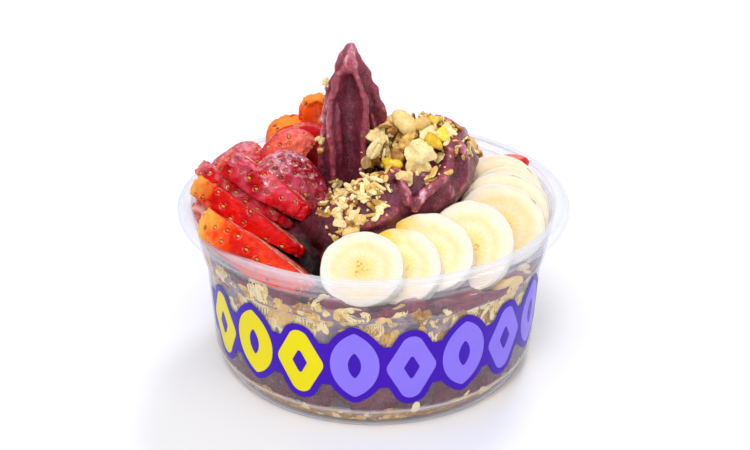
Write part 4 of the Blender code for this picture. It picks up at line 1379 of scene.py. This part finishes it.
def make_granola():
    upper, back, front = Pile("granola_heap_upper"), Pile("granola_heap_back"), Pile("granola_heap_front")
    make_core("granola_heap_upper", 11, 0.74, 1.0)
    make_core("granola_heap_back", 13, 0.82)
    make_core("granola_heap_front", 12, 0.40, 4.0)
    rng = np.random.default_rng(31)
    heap_pieces("granola_heap_upper", upper, rng, (
        ("nut", 2, 8, 0.2, 0.85), ("honey", 6, 7, 0.2, 1.2), ("flake", 48, 2.8, -0.2, 1.0),
        ("oat", 40, 3.0, 0.0, 0.82), ("chunk", 7, 3.8, -0.4, 0.75), ("shard", 80, 1.7, 0.2, 1.0),
        ("crumb", 70, 1.5, 0.3, 1.0)))
    heap_pieces("granola_heap_back", back, rng, (
        ("nut", 2, 8, 0.2, 0.9), ("flake", 24, 3.0, -0.2, 1.0), ("oat", 14, 3.6, -0.2, 0.9),
        ("chunk", 10, 4, -0.4, 0.9), ("shard", 30, 2.0, 0.2, 1.0), ("crumb", 24, 1.6, 0.2, 1.0)))
    tree = surface_of("acai_coil", "acai_peak", "acai_mound", "granola_heap_front_core",
                      "granola_heap_upper_core")
    dropped(tree, front, rng, (-7, -27, 84), 14, 8, (
        ("flake", 13, 1.0, 0.6, 0.70), ("shard", 30, 1.0, 0.6, 0.95), ("oat", 5, 1.0, 0.6, 0.62),
        ("flake", 9, 0.8, 2.0, 0.72), ("shard", 26, 0.85, 1.9, 1.0), ("crumb", 40, 1.15, 0.4, 0.9)))
    dropped(tree, front, rng, (-8, -38, 79), 12, 8, (
        ("flake", 6, 1.0, 0.5, 0.62), ("shard", 22, 1.0, 0.5, 0.95), ("oat", 3, 1.0, 0.5, 0.6),
        ("chunk", 6, 0.9, 0.7, 0.7), ("crumb", 40, 1.15, 0.4, 0.9)))
    dropped(tree, front, rng, (-10, -43, 72), 5, 7, (
        ("shard", 11, 1.0, 0.5, 0.95), ("flake", 4, 1.0, 0.5, 0.7), ("crumb", 18, 1.2, 0.4, 0.9)))
    dropped(tree, upper, rng, (4, -17, 92), 8, 8, (
        ("oat", 11, 1.0, 1.0, 0.8), ("chunk", 2, 1.0, 1.0, 0.8), ("flake", 8, 1.0, 1.0, 0.8),
        ("shard", 12, 1.0, 1.0, 1.0), ("crumb", 20, 1.1, 0.6, 1.0)))
    dropped(tree, upper, rng, (15, -18, 92), 15, 12, (
        ("flake", 14, 1.1, 0.8, 0.85), ("shard", 22, 1.15, 0.6, 1.0), ("crumb", 40, 1.35, 0.4, 1.0)))
    for kind, at, facing, size in PLACED:
        upper.add(kind, at, facing, rng, size, 0.12)
    for pile in (upper, back, front):
        pile.finish()
    # pieces pressed against the wall
    for name, low, high, count, seed in (("granola_base", lambda x, y: 1.5, base_top, 340, 21),
                                         ("granola_middle", lower_top, middle_top, 460, 22)):
        rng = np.random.default_rng(seed)
        pile = Pile(name)
        for k in range(count):
            a = rng.uniform(0, 2 * pi)
            x, y = 66 * cos(a), 66 * sin(a)
            z = rng.uniform(low(x, y) + 0.5, high(x, y) + 0.6)
            r = radius_at(INSIDE, z) - rng.uniform(0.2, 1.6)
            kind = rng.choice(["oat", "flake", "shard", "chunk", "nut", "crumb"],
                              p=[0.30, 0.03, 0.10, 0.38, 0.07, 0.12])
            size = 0.6 if name == "granola_base" else 1.4
            pile.add(kind, (r * cos(a), r * sin(a), z), (cos(a), sin(a), 0), rng,
                     size * rng.uniform(0.8, 1.2), 0.35, True)
        pile.finish()


# ======== stage
def make_stage():
    scene = bpy.context.scene
    camera = bpy.data.objects.new("camera", bpy.data.cameras.new("camera"))
    camera.data.lens, camera.data.sensor_width = 57.6, 36
    camera.location = (0, -0.434, 0.270)
    camera.rotation_euler = (radians(90 - 26.52), 0, radians(-0.07))
    scene.collection.objects.link(camera)
    scene.camera = camera
    scene.view_settings.view_transform = 'Standard'

    world = bpy.data.worlds.new("studio")
    world.use_nodes = True
    world.node_tree.nodes["Background"].inputs[0].default_value = (0.97, 0.98, 1, 1)
    world.node_tree.nodes["Background"].inputs[1].default_value = 0.46
    scene.world = world

    def lamp(name, heading, height, spread, strength):
        """A broad soft lamp; heading 0 is in front of the bowl and grows towards +X."""
        light = bpy.data.objects.new(name, bpy.data.lights.new(name, 'SUN'))
        light.data.angle, light.data.energy = radians(spread), strength
        h, e = radians(heading), radians(height)
        toward = Vector((sin(h) * cos(e), -cos(h) * cos(e), sin(e)))
        light.rotation_euler = toward.to_track_quat('Z', 'Y').to_euler()
        scene.collection.objects.link(light)

    lamp("key", -30, 62, 50, 1.0)
    lamp("fill", 20, 35, 90, 0.80)
    lamp("glint", -12, 66, 9, 0.55)
    lamp("back", 160, 52, 14, 0.85)

    floor = Look("pale_floor", Roughness=0.6)
    floor.colour(floor.mix(floor.noise(60, 2), (240, 241, 246), (244, 245, 249)))
    made = piece("floor", [(-4000, -4000, 0), (4000, -4000, 0), (4000, 4000, 0), (-4000, 4000, 0)],
                 [[[0, 1, 2, 3]]], floor.mat, smooth=False)


make_bowl()
make_print()
make_layers()
make_peak()
make_coil()
make_fruit()
make_granola()
make_stage()
